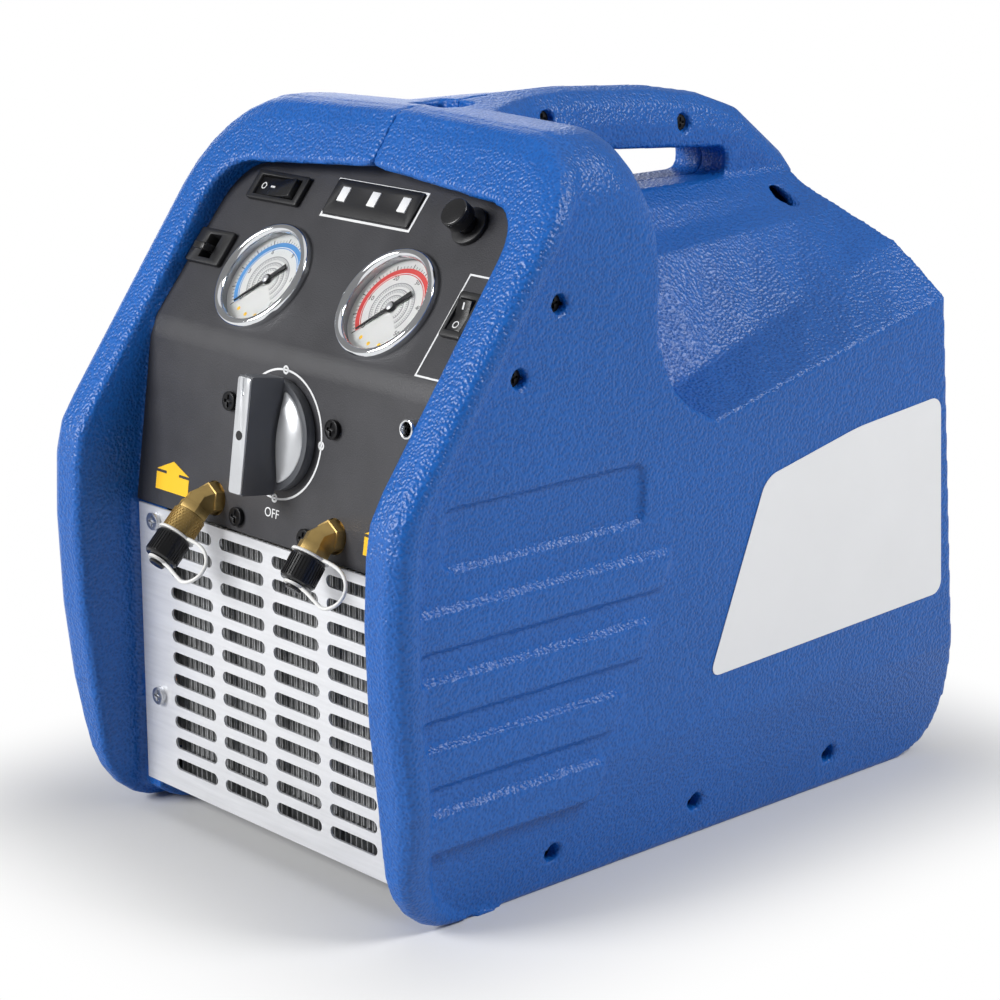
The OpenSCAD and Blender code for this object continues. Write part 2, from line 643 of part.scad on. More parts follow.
module high_gauge_case() gauge_case(gauge_x);
module high_gauge_bezel() gauge_bezel(gauge_x);
module high_gauge_dial() gauge_dial(gauge_x);
module high_gauge_pointer() gauge_pointer(gauge_x);
module high_gauge_lens() gauge_lens(gauge_x);

// Selector: round base, upright grip bar, silver face on the bar and a half-moon on each side
grip_l = knob_r * 2 + 3;
grip_w = 13;
face_w = 9;
face_t = 1.2;
base_top = 5.5;
knob_foot = 0.6;
stem_reach = 14;
module grip_outline() plate(grip_w, grip_l, 2);
module selector_knob() color(ink) on_lower(0, knob_s) {
  difference() {
    union() {
      bar(knob_r, knob_foot, base_top);
      intersection() {
        translate([0, 0, base_top - eps]) linear_extrude(knob_h - face_t - base_top) grip_outline();
        translate([0, grip_l, 0]) rotate([90, 0, 0]) linear_extrude(2 * grip_l) polygon([[-grip_w / 2, 0],
          [grip_w / 2, 0], [face_w / 2, knob_h], [-face_w / 2, knob_h]]);
      }
    }
    inlay_place(base_top - 2, 5);
  }
  bar(stem_r, -stem_reach, base_top);
}
module inlay_place(z0, h) for (side = [1, -1]) intersection() {
  bar(knob_r - 3, z0, z0 + h);
  translate([side * (grip_w / 2 + 1 + knob_r), 0, 0]) slab(2 * knob_r, 3 * knob_r, z0, z0 + h);
}
module selector_inlays() color(steel) on_lower(0, knob_s) inlay_place(base_top - 2, 2.2);
module selector_face() color(pale) on_lower(0, knob_s) difference() {
  translate([0, 0, knob_h - face_t - eps]) linear_extrude(face_t) plate(face_w, grip_l - 1, 1.5);
  translate([0, grip_l / 2 - 5, 0]) slab(1.6, 8, knob_h - face_t + 0.4, knob_h + 1);
}

// Valve block behind the lower panel, held by the four panel screws
block_w = 110;
block_d = 26;
block_h = 68;
block_back = panel_y + 44;
module valve_manifold() color(brass) difference() {
  union() {
    on_lower(0, 0) translate([-block_w / 2, 3, -panel_t - block_d]) cube([block_w, block_h, block_d]);
    translate([-head_x, block_back, pipe_z]) rotate([90, 0, 0]) bar(7, 0, 20);
  }
  on_lower(0, knob_s) bar(stem_r + fit, -panel_t - stem_reach, 1);
  for (p = screw_at) on_lower(p.x, p.y) bar(shank_r + 0.1, -panel_t - 12, 1);
  for (x = [-port_x, port_x]) on_lower(x, port_s) bar(thread_r + 0.1, -panel_t - 9, 1);
}
module pressure_switch() color(ink) on_lower(block_w / 2, 34) rotate([0, 90, 0]) {
  translate([block_d / 2 + panel_t, 0, 0]) {
    bar(5, 0, 6);
    bar(10, 6, 26);
  }
}
module panel_screws() color(ink) for (p = screw_at) on_lower(p.x, p.y) screw(4.6, shank_r, panel_t + 11);

// Hose ports: hex elbow out of the panel, a branch turned down by 45 degrees, filter and cap
elbow_r = 8;
filter_r = 8.2;
module port(x) on_lower(x, port_s) children();
module on_branch(angle) translate([0, 0, stub_l]) rotate([angle, 0, 0]) children();
hex_l = 4.5;
joint_r = 7;
module elbow(angle, reach) {
  rotate(30) translate([0, 0, -panel_t]) cylinder(r = elbow_r, h = hex_l + panel_t, $fn = 6);
  hull() {
    rotate(30) cylinder(r = joint_r, h = hex_l, $fn = 6);
    on_branch(angle) rotate(30) cylinder(r = joint_r, h = hex_l + 1, $fn = 6);
  }
  bar(thread_r, -panel_t - 8, -panel_t + eps);
  on_branch(angle) {
    rotate(30) translate([0, 0, hex_l]) cylinder(r = elbow_r, h = filter_z - hex_l, $fn = 6);
    bar(thread_r, filter_z - 1, reach);
  }
}
thread_l = cap_l - 5;
module inlet_elbow() color(brass) port(-port_x) elbow(inlet_branch, inlet_cap_z + thread_l);
module outlet_elbow() color(brass) port(port_x) elbow(outlet_branch, outlet_cap_z + thread_l);
module inlet_filter() color(brass) port(-port_x) on_branch(inlet_branch) difference() {
  bar(filter_r, filter_z, filter_z + filter_l);
  bar(thread_r + fit, 0, 100);
}
module port_cap(z) {
  difference() {
    bar(cap_r, z, z + cap_l);
    bar(thread_r + fit, z - 1, z + thread_l + 2);
  }
  bar(button_r - 1.6, z + cap_l - eps, z + cap_l + button_l);
  bar(button_r, z + cap_l + button_l - 1.4, z + cap_l + button_l);
}
module inlet_cap() color(ink) port(-port_x) on_branch(inlet_branch) port_cap(inlet_cap_z);
module outlet_cap() color(ink) port(port_x) on_branch(outlet_branch) port_cap(outlet_cap_z);

// Plastic tether: one ring on the neck, one on the cap's button and a strap between them
function strap_route(z) = [[cap_r - 1, z - 1.1], [17, z - 0.4], [25, z + 2], [31, z + 6.5], [33, z + 12],
  [31, z + 17], [25, z + cap_l + strap_sag], [17, z + cap_l + 5], [9, z + cap_l + 2.2], [button_r, z + cap_l + 1.1]];
function heading(route, i) =
  let(d = route[min(i + 1, len(route) - 1)] - route[max(i - 1, 0)]) d / norm(d);
module tether(z) {
  difference() {
    bar(cap_r + 0.5, z - neck_l + 0.2, z - 0.3);
    bar(thread_r + 0.3, z - 10, z + 10);
  }
  difference() {
    bar(button_r + 1.6, z + cap_l + 0.5, z + cap_l + 1.7);
    bar(button_r - 1.2, z + cap_l - 5, z + cap_l + 10);
  }
  route = strap_route(z);
  loft([for (i = [len(route) - 1:-1:0]) let(p = route[i], h = heading(route, i), n = [-h.y, h.x] * strap_t / 2)
    [for (q = [[-1, -1], [1, -1], [1, 1], [-1, 1]]) [p.x + q.y * n.x, q.x * strap_w / 2, p.y + q.y * n.y]]]);
}
module inlet_tether() color(pale) port(-port_x) on_branch(inlet_branch) tether(inlet_cap_z);
module outlet_tether() color(pale) port(port_x) on_branch(outlet_branch) tether(outlet_cap_z);

module vent_stub() color(steel) on_lower(stub_x, stub_s) difference() {
  bar(stub_r, -16, 6);
  bar(stub_r - 1.2, -20, 10);
}

// Grille

grille_w = opening_w - 11;
slot_z = 28.8;
slot_margin = 7.6;
slot_pitch_z = (panel_z - slot_z - slot_margin) / (slot_rows - 1);
module slot_outline() {
  square([slot_l - slot_h, slot_h], center = true);
  for (side = [-1, 1]) translate([side * (slot_l - slot_h) / 2, 0]) circle(r = slot_h / 2);
}
module front_grille() color(sheet_grey) difference() {
  along(grille_y, grille_y + grille_t) translate([0, (belly_z + panel_z) / 2])
    square([grille_w, panel_z - belly_z], center = true);
  for (i = [0:slot_cols - 1], j = [0:slot_rows - 1])
    translate([(i - (slot_cols - 1) / 2) * slot_pitch_x, 0, slot_z + j * slot_pitch_z])
      along(grille_y - 5, grille_y + 5) slot_outline();
  for (p = grille_screw_at) translate([p.x, grille_y, p.y]) rotate([90, 0, 0]) bar(shank_r + 0.2, -10, 10);
}
module grille_screws() color(steel) for (p = grille_screw_at)
  translate([p.x, grille_y, p.y]) rotate([90, 0, 0]) screw(4.4, shank_r, grille_bite);

// Machinery

coil_y = tray_front + 1;
coil_w = 2 * (runner_in - 9);
coil_foot = 17;
coil_z = tray_top + coil_foot;
coil_h = panel_z - 2.5 - coil_z;
fan_r = coil_h / 2 - 7;
tube_r = 4.7;
tube_rows = 5;
tube_low = 22;
tube_pitch = (coil_h - 2 * tube_low) / (tube_rows - 1);
function row_z(i) = coil_z + tube_low + i * tube_pitch;
fin_t = 0.8;
module each_tube() for (i = [0:tube_rows - 1])
  translate([0, coil_y + coil_d / 2, row_z(i)]) rotate([0, 90, 0]) children();
module condenser_fins() color(cast) difference() {
  union() {
    for (x = [-coil_w / 2:fin_pitch:coil_w / 2]) translate([x - fin_t / 2, coil_y, coil_z]) cube([fin_t, coil_d, coil_h]);
    for (x = [-coil_w / 2 - 1, coil_w / 2 - 0.2]) translate([x, coil_y + 4, tray_top])
      cube([1.2, coil_d - 4, coil_foot + coil_h]);
    translate([-coil_w / 2 - 1, coil_y + 4, coil_z]) cube([coil_w + 2, coil_d - 4, 3]);
    translate([-coil_w / 2 - 1, coil_y + 4, coil_z + coil_h - 3]) cube([coil_w + 2, coil_d - 4, 3]);
  }
  each_tube() bar(tube_r + fit, -coil_w, coil_w);
}
module return_bend() rotate([90, 0, 0]) rotate_extrude(angle = 180) translate([tube_pitch / 2, 0]) circle(r = tube_r);
bend_x = coil_w / 2 + 2;
module condenser_tubes() color(copper) {
  each_tube() bar(tube_r, -bend_x, bend_x);
  for (i = [0:tube_rows - 2]) translate([i % 2 == 0 ? bend_x : -bend_x, coil_y + coil_d / 2, row_z(i) + tube_pitch / 2])
    rotate([0, 0, i % 2 == 0 ? 0 : 180]) rotate([0, 90, 0]) return_bend();
}

shroud_y = coil_y + coil_d;
shroud_t = 2;
shroud_d = 18;
fan_z = coil_z + coil_h / 2;
module fan_shroud() color(ink) difference() {
  union() {
    translate([-coil_w / 2, shroud_y, coil_z]) cube([coil_w, shroud_t, coil_h]);
    translate([0, shroud_y, fan_z]) rotate([-90, 0, 0]) bar(fan_r + 6, 0, shroud_d);
  }
  translate([0, shroud_y, fan_z]) rotate([-90, 0, 0]) bar(fan_r + 3, -5, 40);
}
hub_r = 14;
hub_l = 12;
hub_y = shroud_y + 4;
axle_r = 3;
module fan_blade() color(ink) translate([0, hub_y, fan_z]) rotate([-90, 0, 0]) difference() {
  union() {
    bar(hub_r, 0, hub_l);
    for (i = [0:fan_blades - 1]) rotate(i * 360 / fan_blades) translate([hub_r - 2, 0, hub_l / 2]) rotate([28, 0, 0])
      translate([0, -11, -0.8]) linear_extrude(1.6) polygon(rounded([[0, 0, 0], [fan_r - hub_r - 1, -3, 8],
        [fan_r - hub_r - 1, 23, 8], [0, 20, 0]]));
  }
  bar(axle_r + fit, 3, hub_l + 5);
}
motor_front = hub_y + hub_l + 3;
fan_motor_r = 26;
fan_motor_l = 44;
module fan_motor() color(steel) {
  translate([0, hub_y + 3.4, fan_z]) rotate([-90, 0, 0]) bar(axle_r, 0, motor_front - hub_y);
  translate([0, motor_front, fan_z]) rotate([-90, 0, 0]) bar(fan_motor_r, 0, fan_motor_l);
  translate([-18, motor_front + 8, tray_top]) cube([36, 4, fan_z - tray_top]);
  translate([-18, motor_front + 8, tray_top]) cube([36, 26, 3]);
}

// Compressor: two cylinders on a crankcase, driven by the motor behind it, on rubber mounts
mount_h = 12;
mount_r = 9;
crank_y = motor_front + fan_motor_l + 16;
crank_l = 56;
crank_w = 84;
crank_h = 74;
crank_z = tray_top + mount_h;
mount_at = [[-34, crank_y + 12], [34, crank_y + 12], [-34, crank_y + 118], [34, crank_y + 118]];
module compressor_mounts() color(ink) for (p = mount_at) translate([p.x, p.y, tray_top]) bar(mount_r, 0, mount_h);
module crankcase() color(cast) {
  translate([-crank_w / 2, crank_y, crank_z]) cube([crank_w, crank_l, crank_h]);
  translate([-46, crank_y, crank_z]) cube([92, 136, 6]);
}
head_r = 17;
head_l = 34;
head_x = 20;
cool_fins = 5;
module cylinder_heads() color(cast) for (side = [-1, 1])
  translate([side * head_x, crank_y + crank_l / 2, crank_z + crank_h]) {
    bar(head_r - 3, 0, head_l);
    for (i = [0:cool_fins - 1]) translate([0, 0, 4 + i * 6]) bar(head_r + 1, 0, 2.4);
    bar(head_r, head_l - 6, head_l + 6);
  }
motor_l = 74;
motor_z = crank_z + 10 + motor_r;
module drive_motor() color(steel) translate([0, crank_y + crank_l, motor_z]) rotate([-90, 0, 0]) {
  bar(motor_r, 0, motor_l);
  for (a = [0:30:330]) rotate(a) translate([motor_r - 1, -1.5, 12]) cube([4, 3, motor_l - 24]);
  bar(motor_r - 14, motor_l - eps, motor_l + 8);
}
cap_can_r = 17;
module run_capacitor() color(pale) translate([70, crank_y + 100, tray_top]) bar(cap_can_r, 0, 72);

// Copper pipes with square bends, each along a route of corner points
pipe_r = 4;
pipe_bend = 14;
function placed(x, y, z, at) = [[x.x, y.x, z.x, at.x], [x.y, y.y, z.y, at.y], [x.z, y.z, z.z, at.z], [0, 0, 0, 1]];
function way(route, i) = (route[i + 1] - route[i]) / norm(route[i + 1] - route[i]);
module pipe_run(route) for (i = [0:len(route) - 2]) {
  d = way(route, i);
  side = [d.y, d.z, d.x];
  from = route[i] + d * (i > 0 ? pipe_bend : 0);
  to = route[i + 1] - d * (i < len(route) - 2 ? pipe_bend : 0);
  multmatrix(placed(side, cross(d, side), d, from)) cylinder(r = pipe_r, h = norm(to - from));
  if (i > 0) {
    a = way(route, i - 1);
    multmatrix(placed(-d, a, cross(a, d), route[i] + (d - a) * pipe_bend)) rotate_extrude(angle = 90)
      translate([pipe_bend, 0]) circle(r = pipe_r);
  }
}
head_top = crank_z + crank_h + head_l + 6;
head_y = crank_y + crank_l / 2;
pipe_z = head_top + 38;
pipe_x = bend_x + tube_pitch / 2 + tube_r + pipe_r + 1;
coil_mid = coil_y + coil_d / 2;
module suction_pipe() color(copper)
  pipe_run([[-head_x, head_y, head_top], [-head_x, head_y, pipe_z], [-head_x, block_back, pipe_z]]);
module discharge_pipe() color(copper)
  pipe_run([[head_x, head_y, head_top], [head_x, head_y, pipe_z], [pipe_x, head_y, pipe_z],
    [pipe_x, coil_mid, pipe_z], [pipe_x, coil_mid, row_z(tube_rows - 1)], [bend_x, coil_mid, row_z(tube_rows - 1)]]);
module liquid_pipe() color(copper)
  pipe_run([[-bend_x, coil_mid, row_z(0)], [-pipe_x, coil_mid, row_z(0)], [-pipe_x, coil_mid, pipe_z],
    [-block_w / 2, coil_mid, pipe_z]]);

// Mains inlet in the rear wall
inlet_y = rear_y - 1;
lean = atan(rear_lean);
module power_inlet() color(ink) translate([inlet_x, rear_y, rear_knee]) rotate([lean, 0, 0]) translate([0, 0, inlet_z - rear_knee])
  rotate([90, 0, 180]) difference() {
    union() {
      translate([0, 0, seat_gap]) linear_extrude(1.2) plate(inlet_w + 8, inlet_h + 4, 3);
      slab(inlet_w - 1, inlet_h - 1.6, -22, 1);
    }
    slab(inlet_w - 5, inlet_h - 5, -15, 10);
  }
module inlet_pins() color(steel) translate([inlet_x, rear_y, rear_knee]) rotate([lean, 0, 0]) translate([0, 0, inlet_z - rear_knee])
  rotate([90, 0, 180]) for (p = [[-7, -2], [0, 3], [7, -2]]) translate([p.x, p.y, 0]) slab(2, 5, -15, -4);

left_shell();
right_shell();
base_tray();
control_panel();
front_grille();
power_switch_body();
power_rocker();
breaker_body();
breaker_toggle();
indicator_plate();
indicator_lenses();
start_collar();
start_button();
mode_switch_body();
mode_rocker();
low_gauge_case();
low_gauge_bezel();
low_gauge_dial();
low_gauge_pointer();
low_gauge_lens();
high_gauge_case();
high_gauge_bezel();
high_gauge_dial();
high_gauge_pointer();
high_gauge_lens();
selector_knob();
selector_face();
selector_inlays();
valve_manifold();
pressure_switch();
inlet_elbow();
inlet_filter();
inlet_cap();
inlet_tether();
outlet_elbow();
outlet_cap();
outlet_tether();
vent_stub();
panel_screws();
grille_screws();
hood_screws();
base_screws();
handle_screws();
condenser_fins();
condenser_tubes();
fan_shroud();
fan_motor();
fan_blade();
crankcase();
cylinder_heads();
drive_motor();
compressor_mounts();
run_capacitor();
suction_pipe();
discharge_pipe();
liquid_pipe();
power_inlet();
inlet_pins();
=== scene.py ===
# %% [markdown]
# # A portable refrigerant recovery machine
#
# The solids of this machine come from its construction model, already at their real size and
# place. This lesson dresses them: it rounds the moulded housing, prints the gauge dials and panel
# marks, models the small parts that the eye lands on, gives every surface its finish, and sets
# light and camera.

# %% Load the frame
import math
import bpy
from mathutils import Matrix, Vector


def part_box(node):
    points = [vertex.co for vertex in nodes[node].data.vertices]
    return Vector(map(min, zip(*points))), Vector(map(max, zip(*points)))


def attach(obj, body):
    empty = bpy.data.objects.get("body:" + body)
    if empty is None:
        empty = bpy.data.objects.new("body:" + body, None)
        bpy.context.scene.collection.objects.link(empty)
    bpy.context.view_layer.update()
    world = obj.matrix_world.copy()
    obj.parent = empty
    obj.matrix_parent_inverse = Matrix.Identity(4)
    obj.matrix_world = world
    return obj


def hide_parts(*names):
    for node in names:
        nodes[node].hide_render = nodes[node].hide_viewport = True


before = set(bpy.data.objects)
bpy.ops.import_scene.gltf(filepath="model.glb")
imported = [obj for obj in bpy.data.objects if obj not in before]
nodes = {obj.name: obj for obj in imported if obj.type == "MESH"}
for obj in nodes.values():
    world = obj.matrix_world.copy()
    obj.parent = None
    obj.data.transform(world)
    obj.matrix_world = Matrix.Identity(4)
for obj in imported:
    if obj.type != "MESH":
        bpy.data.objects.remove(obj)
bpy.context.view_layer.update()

MM = 0.001

# %% [markdown]
# ## Small helpers
#
# Blender's operators act on whatever is selected and active, so each helper first deselects
# everything. `added` runs an operator that adds an object and names the result. Pieces are modelled
# round the origin, then set in place by a matrix that is applied to the mesh, so that every finished
# object sits at the origin with its place in its vertices.

# %% Selecting, adding and editing
def only(obj):
    bpy.ops.object.select_all(action="DESELECT")
    obj.hide_set(False)
    obj.select_set(True)
    bpy.context.view_layer.objects.active = obj
    return obj


def made(name):
    obj = bpy.context.object
    obj.name = name
    obj.data.name = name
    return obj


def added(name, operator, **settings):
    bpy.ops.object.select_all(action="DESELECT")
    operator(**settings)
    return made(name)


def linked(name, data):
    obj = bpy.data.objects.new(name, data)
    bpy.context.scene.collection.objects.link(obj)
    return obj


def edit(obj):
    only(obj)
    bpy.ops.object.mode_set(mode="EDIT")
    bpy.ops.mesh.select_mode(type="FACE")
    bpy.ops.mesh.select_all(action="SELECT")


def done():
    bpy.ops.mesh.select_all(action="SELECT")
    bpy.ops.mesh.normals_make_consistent(inside=False)
    bpy.ops.object.mode_set(mode="OBJECT")


# %% Modifiers, places and dressing
def apply_modifier(obj, kind, **settings):
    only(obj)
    modifier = obj.modifiers.new(kind.lower(), kind)
    for key, value in settings.items():
        setattr(modifier, key, value)
    bpy.ops.object.modifier_apply(modifier=modifier.name)
    return obj


def soften(obj, angle=35):
    only(obj)
    bpy.ops.object.shade_smooth_by_angle(angle=math.radians(angle))
    return obj


def shift(x, y, z):
    return Matrix.Translation((x * MM, y * MM, z * MM))


def rotation(degrees, axis="Z"):
    return Matrix.Rotation(math.radians(degrees), 4, axis)


def place(obj, matrix):
    obj.data.transform(matrix)
    obj.data.update()
    return obj


def join(objs, name):
    bpy.ops.object.select_all(action="DESELECT")
    for obj in objs:
        obj.select_set(True)
    bpy.context.view_layer.objects.active = objs[0]
    bpy.ops.object.join()
    return made(name)


def dress(obj, material, body, replaces=()):
    obj.data.materials.clear()
    obj.data.materials.append(material)
    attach(obj, body)
    if replaces:
        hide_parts(*replaces)
    return obj


# %% [markdown]
# ## Ways of making a piece
#
# Most small parts are turned, printed or cut from film. `turned` moves a ring of vertices onto a
# measured section and spins it round Z, clockwise from the angle `start`. `bars` spins copies of one
# small bar, for ribs and dial ticks. `film` and `outline` extrude a flat shape by its thickness. All
# sizes are millimetres.

# %% Turned and spun pieces
SEAM, SLIVER = 1e-6, 1e-7


def ring_of(name, points, filled):
    obj = added(name, bpy.ops.mesh.primitive_circle_add, vertices=len(points), radius=MM,
                fill_type="NGON" if filled else "NOTHING")
    for vertex, point in zip(obj.data.vertices, points):
        vertex.co = Vector(point) * MM
    return obj


def flat_ring(inner, outer, height, base=0):
    top = base + height
    return [(inner, base), (outer, base), (outer, top), (inner, top)]


def raised(section, z):
    return [(r, h + z) for r, h in section]


def turned(name, section, angle=360, start=0, steps=72):
    obj = ring_of(name, [(r, 0, z) for r, z in section], angle < 360)
    place(obj, rotation(start))
    edit(obj)
    bpy.ops.mesh.spin(steps=steps, angle=math.radians(angle), center=(0, 0, 0), axis=(0, 0, 1))
    bpy.ops.mesh.select_all(action="SELECT")
    bpy.ops.mesh.remove_doubles(threshold=SEAM)
    bpy.ops.mesh.dissolve_degenerate(threshold=SLIVER)
    done()
    return obj


def bars(name, size, r, z, count, angle=360, start=0, lean=0):
    obj = added(name, bpy.ops.mesh.primitive_cube_add, size=MM)
    place(obj, rotation(start) @ shift(r, 0, z) @ rotation(lean, "X") @ Matrix.Diagonal((*size, 1)))
    sweep = angle if angle < 360 else 360 * (count - 1) / count
    edit(obj)
    bpy.ops.mesh.spin(steps=count - 1, dupli=True, angle=math.radians(sweep), center=(0, 0, 0),
                      axis=(0, 0, 1))
    done()
    return obj


# %% Flat pieces
CORNER_STEPS = 6
FIGURE_RELIEF = 0.04


def thicken(obj, thickness):
    bpy.ops.mesh.select_all(action="SELECT")
    bpy.ops.mesh.extrude_region_move(TRANSFORM_OT_translate={"value": (0, 0, thickness * MM)})
    done()
    return obj


def film(name, points, thickness, rounding=0):
    obj = ring_of(name, [(x, y, 0) for x, y in points], True)
    edit(obj)
    if rounding:
        bpy.ops.mesh.bevel(offset=rounding * MM, affect="VERTICES", segments=CORNER_STEPS)
    return thicken(obj, thickness)


def outline(name, width, height, line, thickness):
    obj = added(name, bpy.ops.mesh.primitive_plane_add, size=MM)
    place(obj, Matrix.Diagonal((width, height, 1, 1)))
    edit(obj)
    bpy.ops.mesh.inset(thickness=line * MM)
    bpy.ops.mesh.delete(type="FACE")
    return thicken(obj, thickness)


def figure(text, size, x, y):
    obj = added("figure_" + text, bpy.ops.object.text_add)
    obj.data.body = text
    obj.data.align_x, obj.data.align_y = "CENTER", "CENTER"
    obj.data.size = size * MM
    obj.data.extrude = FIGURE_RELIEF * MM
    bpy.ops.object.convert(target="MESH")
    return place(bpy.context.object, shift(x, y, 0))


# %% [markdown]
# ## Frames on the control panel
#
# The panel is one sheet with a bend. These helpers turn a position on its lower or upper half, x
# across and s up the slope, into a matrix whose Z axis stands out of the panel. The upper half leans
# back further than the lower one.

# %% Panel frames
LOWER_TILT, UPPER_TILT = 8, 39
LOWER_LENGTH = 87
FOOT_BEHIND_GRILLE, FOOT_HEIGHT = 2.2, 159
grille_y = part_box("front_grille")[0].y


def up_slope(tilt, x, s):
    lean = math.radians(tilt)
    return MM * Vector((x, s * math.sin(lean), s * math.cos(lean)))


FOOT = Vector((0, grille_y + FOOT_BEHIND_GRILLE * MM, FOOT_HEIGHT * MM))
BEND = FOOT + up_slope(LOWER_TILT, 0, LOWER_LENGTH)


def on_slope(corner, tilt, x, s, h, turn):
    origin = Matrix.Translation(corner + up_slope(tilt, x, s))
    return origin @ rotation(90 - tilt, "X") @ shift(0, 0, h) @ rotation(turn)


def on_lower(x, s, h=0.0, turn=0.0):
    return on_slope(FOOT, LOWER_TILT, x, s, h, turn)


def on_upper(x, s, h=0.0, turn=0.0):
    return on_slope(BEND, UPPER_TILT, x, s, h, turn)


print("bend at", [round(v, 4) for v in BEND])

# %% [markdown]
# ## Camera
#
# The camera stands to the front right of the machine and a little above it, with a long lens, as in
# the photograph. It could be aimed by a constraint; here its direction is worked out from the two
# viewing angles.

# %% Camera
CAMERA_AZIMUTH, CAMERA_ELEVATION = math.radians(47.515), math.radians(15.272)
CAMERA_RIGHT, CAMERA_BEFORE_GRILLE, CAMERA_HEIGHT = 0.98035, 0.750999, 0.5156
camera_data = bpy.data.cameras.new("camera")
camera_data.sensor_width = 36
camera_data.lens = 99.26
camera_data.clip_start, camera_data.clip_end = 0.05, 60
camera = linked("camera", camera_data)
towards_camera = Vector((math.sin(CAMERA_AZIMUTH) * math.cos(CAMERA_ELEVATION),
                         -math.cos(CAMERA_AZIMUTH) * math.cos(CAMERA_ELEVATION),
                         math.sin(CAMERA_ELEVATION)))
camera.location = (CAMERA_RIGHT, grille_y - CAMERA_BEFORE_GRILLE, CAMERA_HEIGHT)
camera.rotation_mode = "QUATERNION"
camera.rotation_quaternion = (-towards_camera).to_track_quat("-Z", "Y")
bpy.context.scene.camera = camera
print("camera at", [round(v, 4) for v in camera.location])

# %% [markdown]
# ## Shader nodes
#
# A finish is a small graph of nodes. `wire` fills a node's sockets: a socket of another node is
# linked, and a plain value is set. `new_node` adds a node and wires it, and `ramp` blends two
# colours by a value.

# %% Node helpers
def wire(tree, node, sockets):
    for socket, value in sockets.items():
        if isinstance(value, bpy.types.NodeSocket):
            tree.links.new(value, node.inputs[socket])
        else:
            node.inputs[socket].default_value = value
    return node


def new_node(tree, kind, sockets, **settings):
    node = tree.nodes.new(kind)
    for key, value in settings.items():
        setattr(node, key, value)
    return wire(tree, node, sockets)


def ramp(tree, source, low, high):
    node = new_node(tree, "ShaderNodeValToRGB", {"Fac": source})
    for end, (position, colour) in zip(node.color_ramp.elements, (low, high)):
        end.position = position
        end.color = colour
    return node.outputs["Color"]


def blank(name):
    material = bpy.data.materials.new(name)
    material.use_nodes = True
    return material, material.node_tree, material.node_tree.nodes["Principled BSDF"]


# %% [markdown]
# ## Finishes
#
# Each finish is a Principled shader whose colour, roughness and bump vary over the surface on Object
# coordinates, in metres, so the grain has a real size. The housing is pebbled plastic, the panel is
# satin powder coat, the grille is brushed sheet, and the metals carry fine machining marks. The
# The pebbles are soft cells, a little darker in their sunken centres: painted shade.

# %% Finish builder
PATCH_LOW, PATCH_HIGH = 0.3, 0.7
# Colour multiplied into the sunken centres of the pebbles: painted shade in the hollows of the grain.
PIT_SHADE_TINT = (0.68, 0.7, 0.74, 1)
SMOOTHEST = 0.02


def linear(rgb):
    def one(c):
        c = c / 255
        return c / 12.92 if c <= 0.04045 else ((c + 0.055) / 1.055) ** 2.4
    return [one(c) for c in rgb]


def pebbles(tree, where, scale, colour):
    cells = new_node(tree, "ShaderNodeTexVoronoi", {"Smoothness": 0.5, "Scale": scale,
                                                    "Vector": where}, feature="SMOOTH_F1")
    height = cells.outputs["Distance"]
    # The low centres of the cells are darkened, which paints shade into the hollows of the grain.
    pit_shade = ramp(tree, height, (0.12, PIT_SHADE_TINT), (0.6, (1, 1, 1, 1)))
    shade = new_node(tree, "ShaderNodeVectorMath", {0: colour, 1: pit_shade}, operation="MULTIPLY")
    return height, shade.outputs["Vector"]


def finish(name, rgb, roughness, grain, metallic=0.0, vary=0.12, vary_scale=40, grain_scale=900,
           stretch=(1, 1, 1), depth=0.0006, rough_vary=0.08, cells=False, specular=0.5):
    material, tree, shader = blank(name)
    coords = new_node(tree, "ShaderNodeTexCoord", {})
    mapping = new_node(tree, "ShaderNodeMapping", {"Vector": coords.outputs["Object"],
                                                   "Scale": stretch})
    where = mapping.outputs["Vector"]
    patches = new_node(tree, "ShaderNodeTexNoise", {"Vector": where, "Scale": vary_scale,
                                                    "Detail": 4})
    patch = patches.outputs["Fac"]
    darker = [c * (1 - vary) for c in linear(rgb)] + [1]
    lighter = [min(1, c * (1 + vary)) for c in linear(rgb)] + [1]
    colour = ramp(tree, patch, (PATCH_LOW, darker), (PATCH_HIGH, lighter))
    spread = new_node(tree, "ShaderNodeMapRange", {
        "Value": patch, "To Min": max(SMOOTHEST, roughness - rough_vary),
        "To Max": min(1, roughness + rough_vary)})
    if cells:
        height, colour = pebbles(tree, where, grain_scale, colour)
    else:
        height = new_node(tree, "ShaderNodeTexNoise", {"Vector": where, "Scale": grain_scale,
                                                       "Detail": 3}).outputs["Fac"]
    bump = new_node(tree, "ShaderNodeBump", {"Strength": grain, "Distance": depth,
                                             "Height": height})
    wire(tree, shader, {"Base Color": colour, "Roughness": spread.outputs["Result"],
                        "Normal": bump.outputs["Normal"], "Metallic": metallic,
                        "Specular IOR Level": specular})
    return material


# %% [markdown]
# ### Plastics and paint
#
# The blue housing has the strongest grain, the panel's coat a fine one, and the small black parts
# hardly any. An image of real plastic would do as well, but nodes need no file and never repeat.

# %% Plastics and paint
blue_plastic = finish("pebbled_blue_plastic", (20, 94, 178), 0.36, 0.8, vary=0.05, vary_scale=14,
                      grain_scale=640, cells=True, depth=0.00065, rough_vary=0.04, specular=0.42)
panel_coat = finish("panel_powder_coat", (52, 52, 56), 0.45, 0.25, vary=0.1, vary_scale=60,
                    grain_scale=1500)
satin_black = finish("satin_black_plastic", (28, 28, 30), 0.42, 0.15, vary=0.15, grain_scale=1600)
gloss_black = finish("gloss_black_plastic", (22, 22, 24), 0.28, 0.05, vary=0.15, grain_scale=700)
knob_grey = finish("knob_grey_plastic", (80, 82, 87), 0.4, 0.08, vary=0.08, grain_scale=1400)
motor_paint = finish("motor_paint", (88, 90, 95), 0.5, 0.15, vary=0.1)
mount_rubber = finish("mount_rubber", (32, 32, 33), 0.75, 0.2, vary=0.15, grain_scale=700)
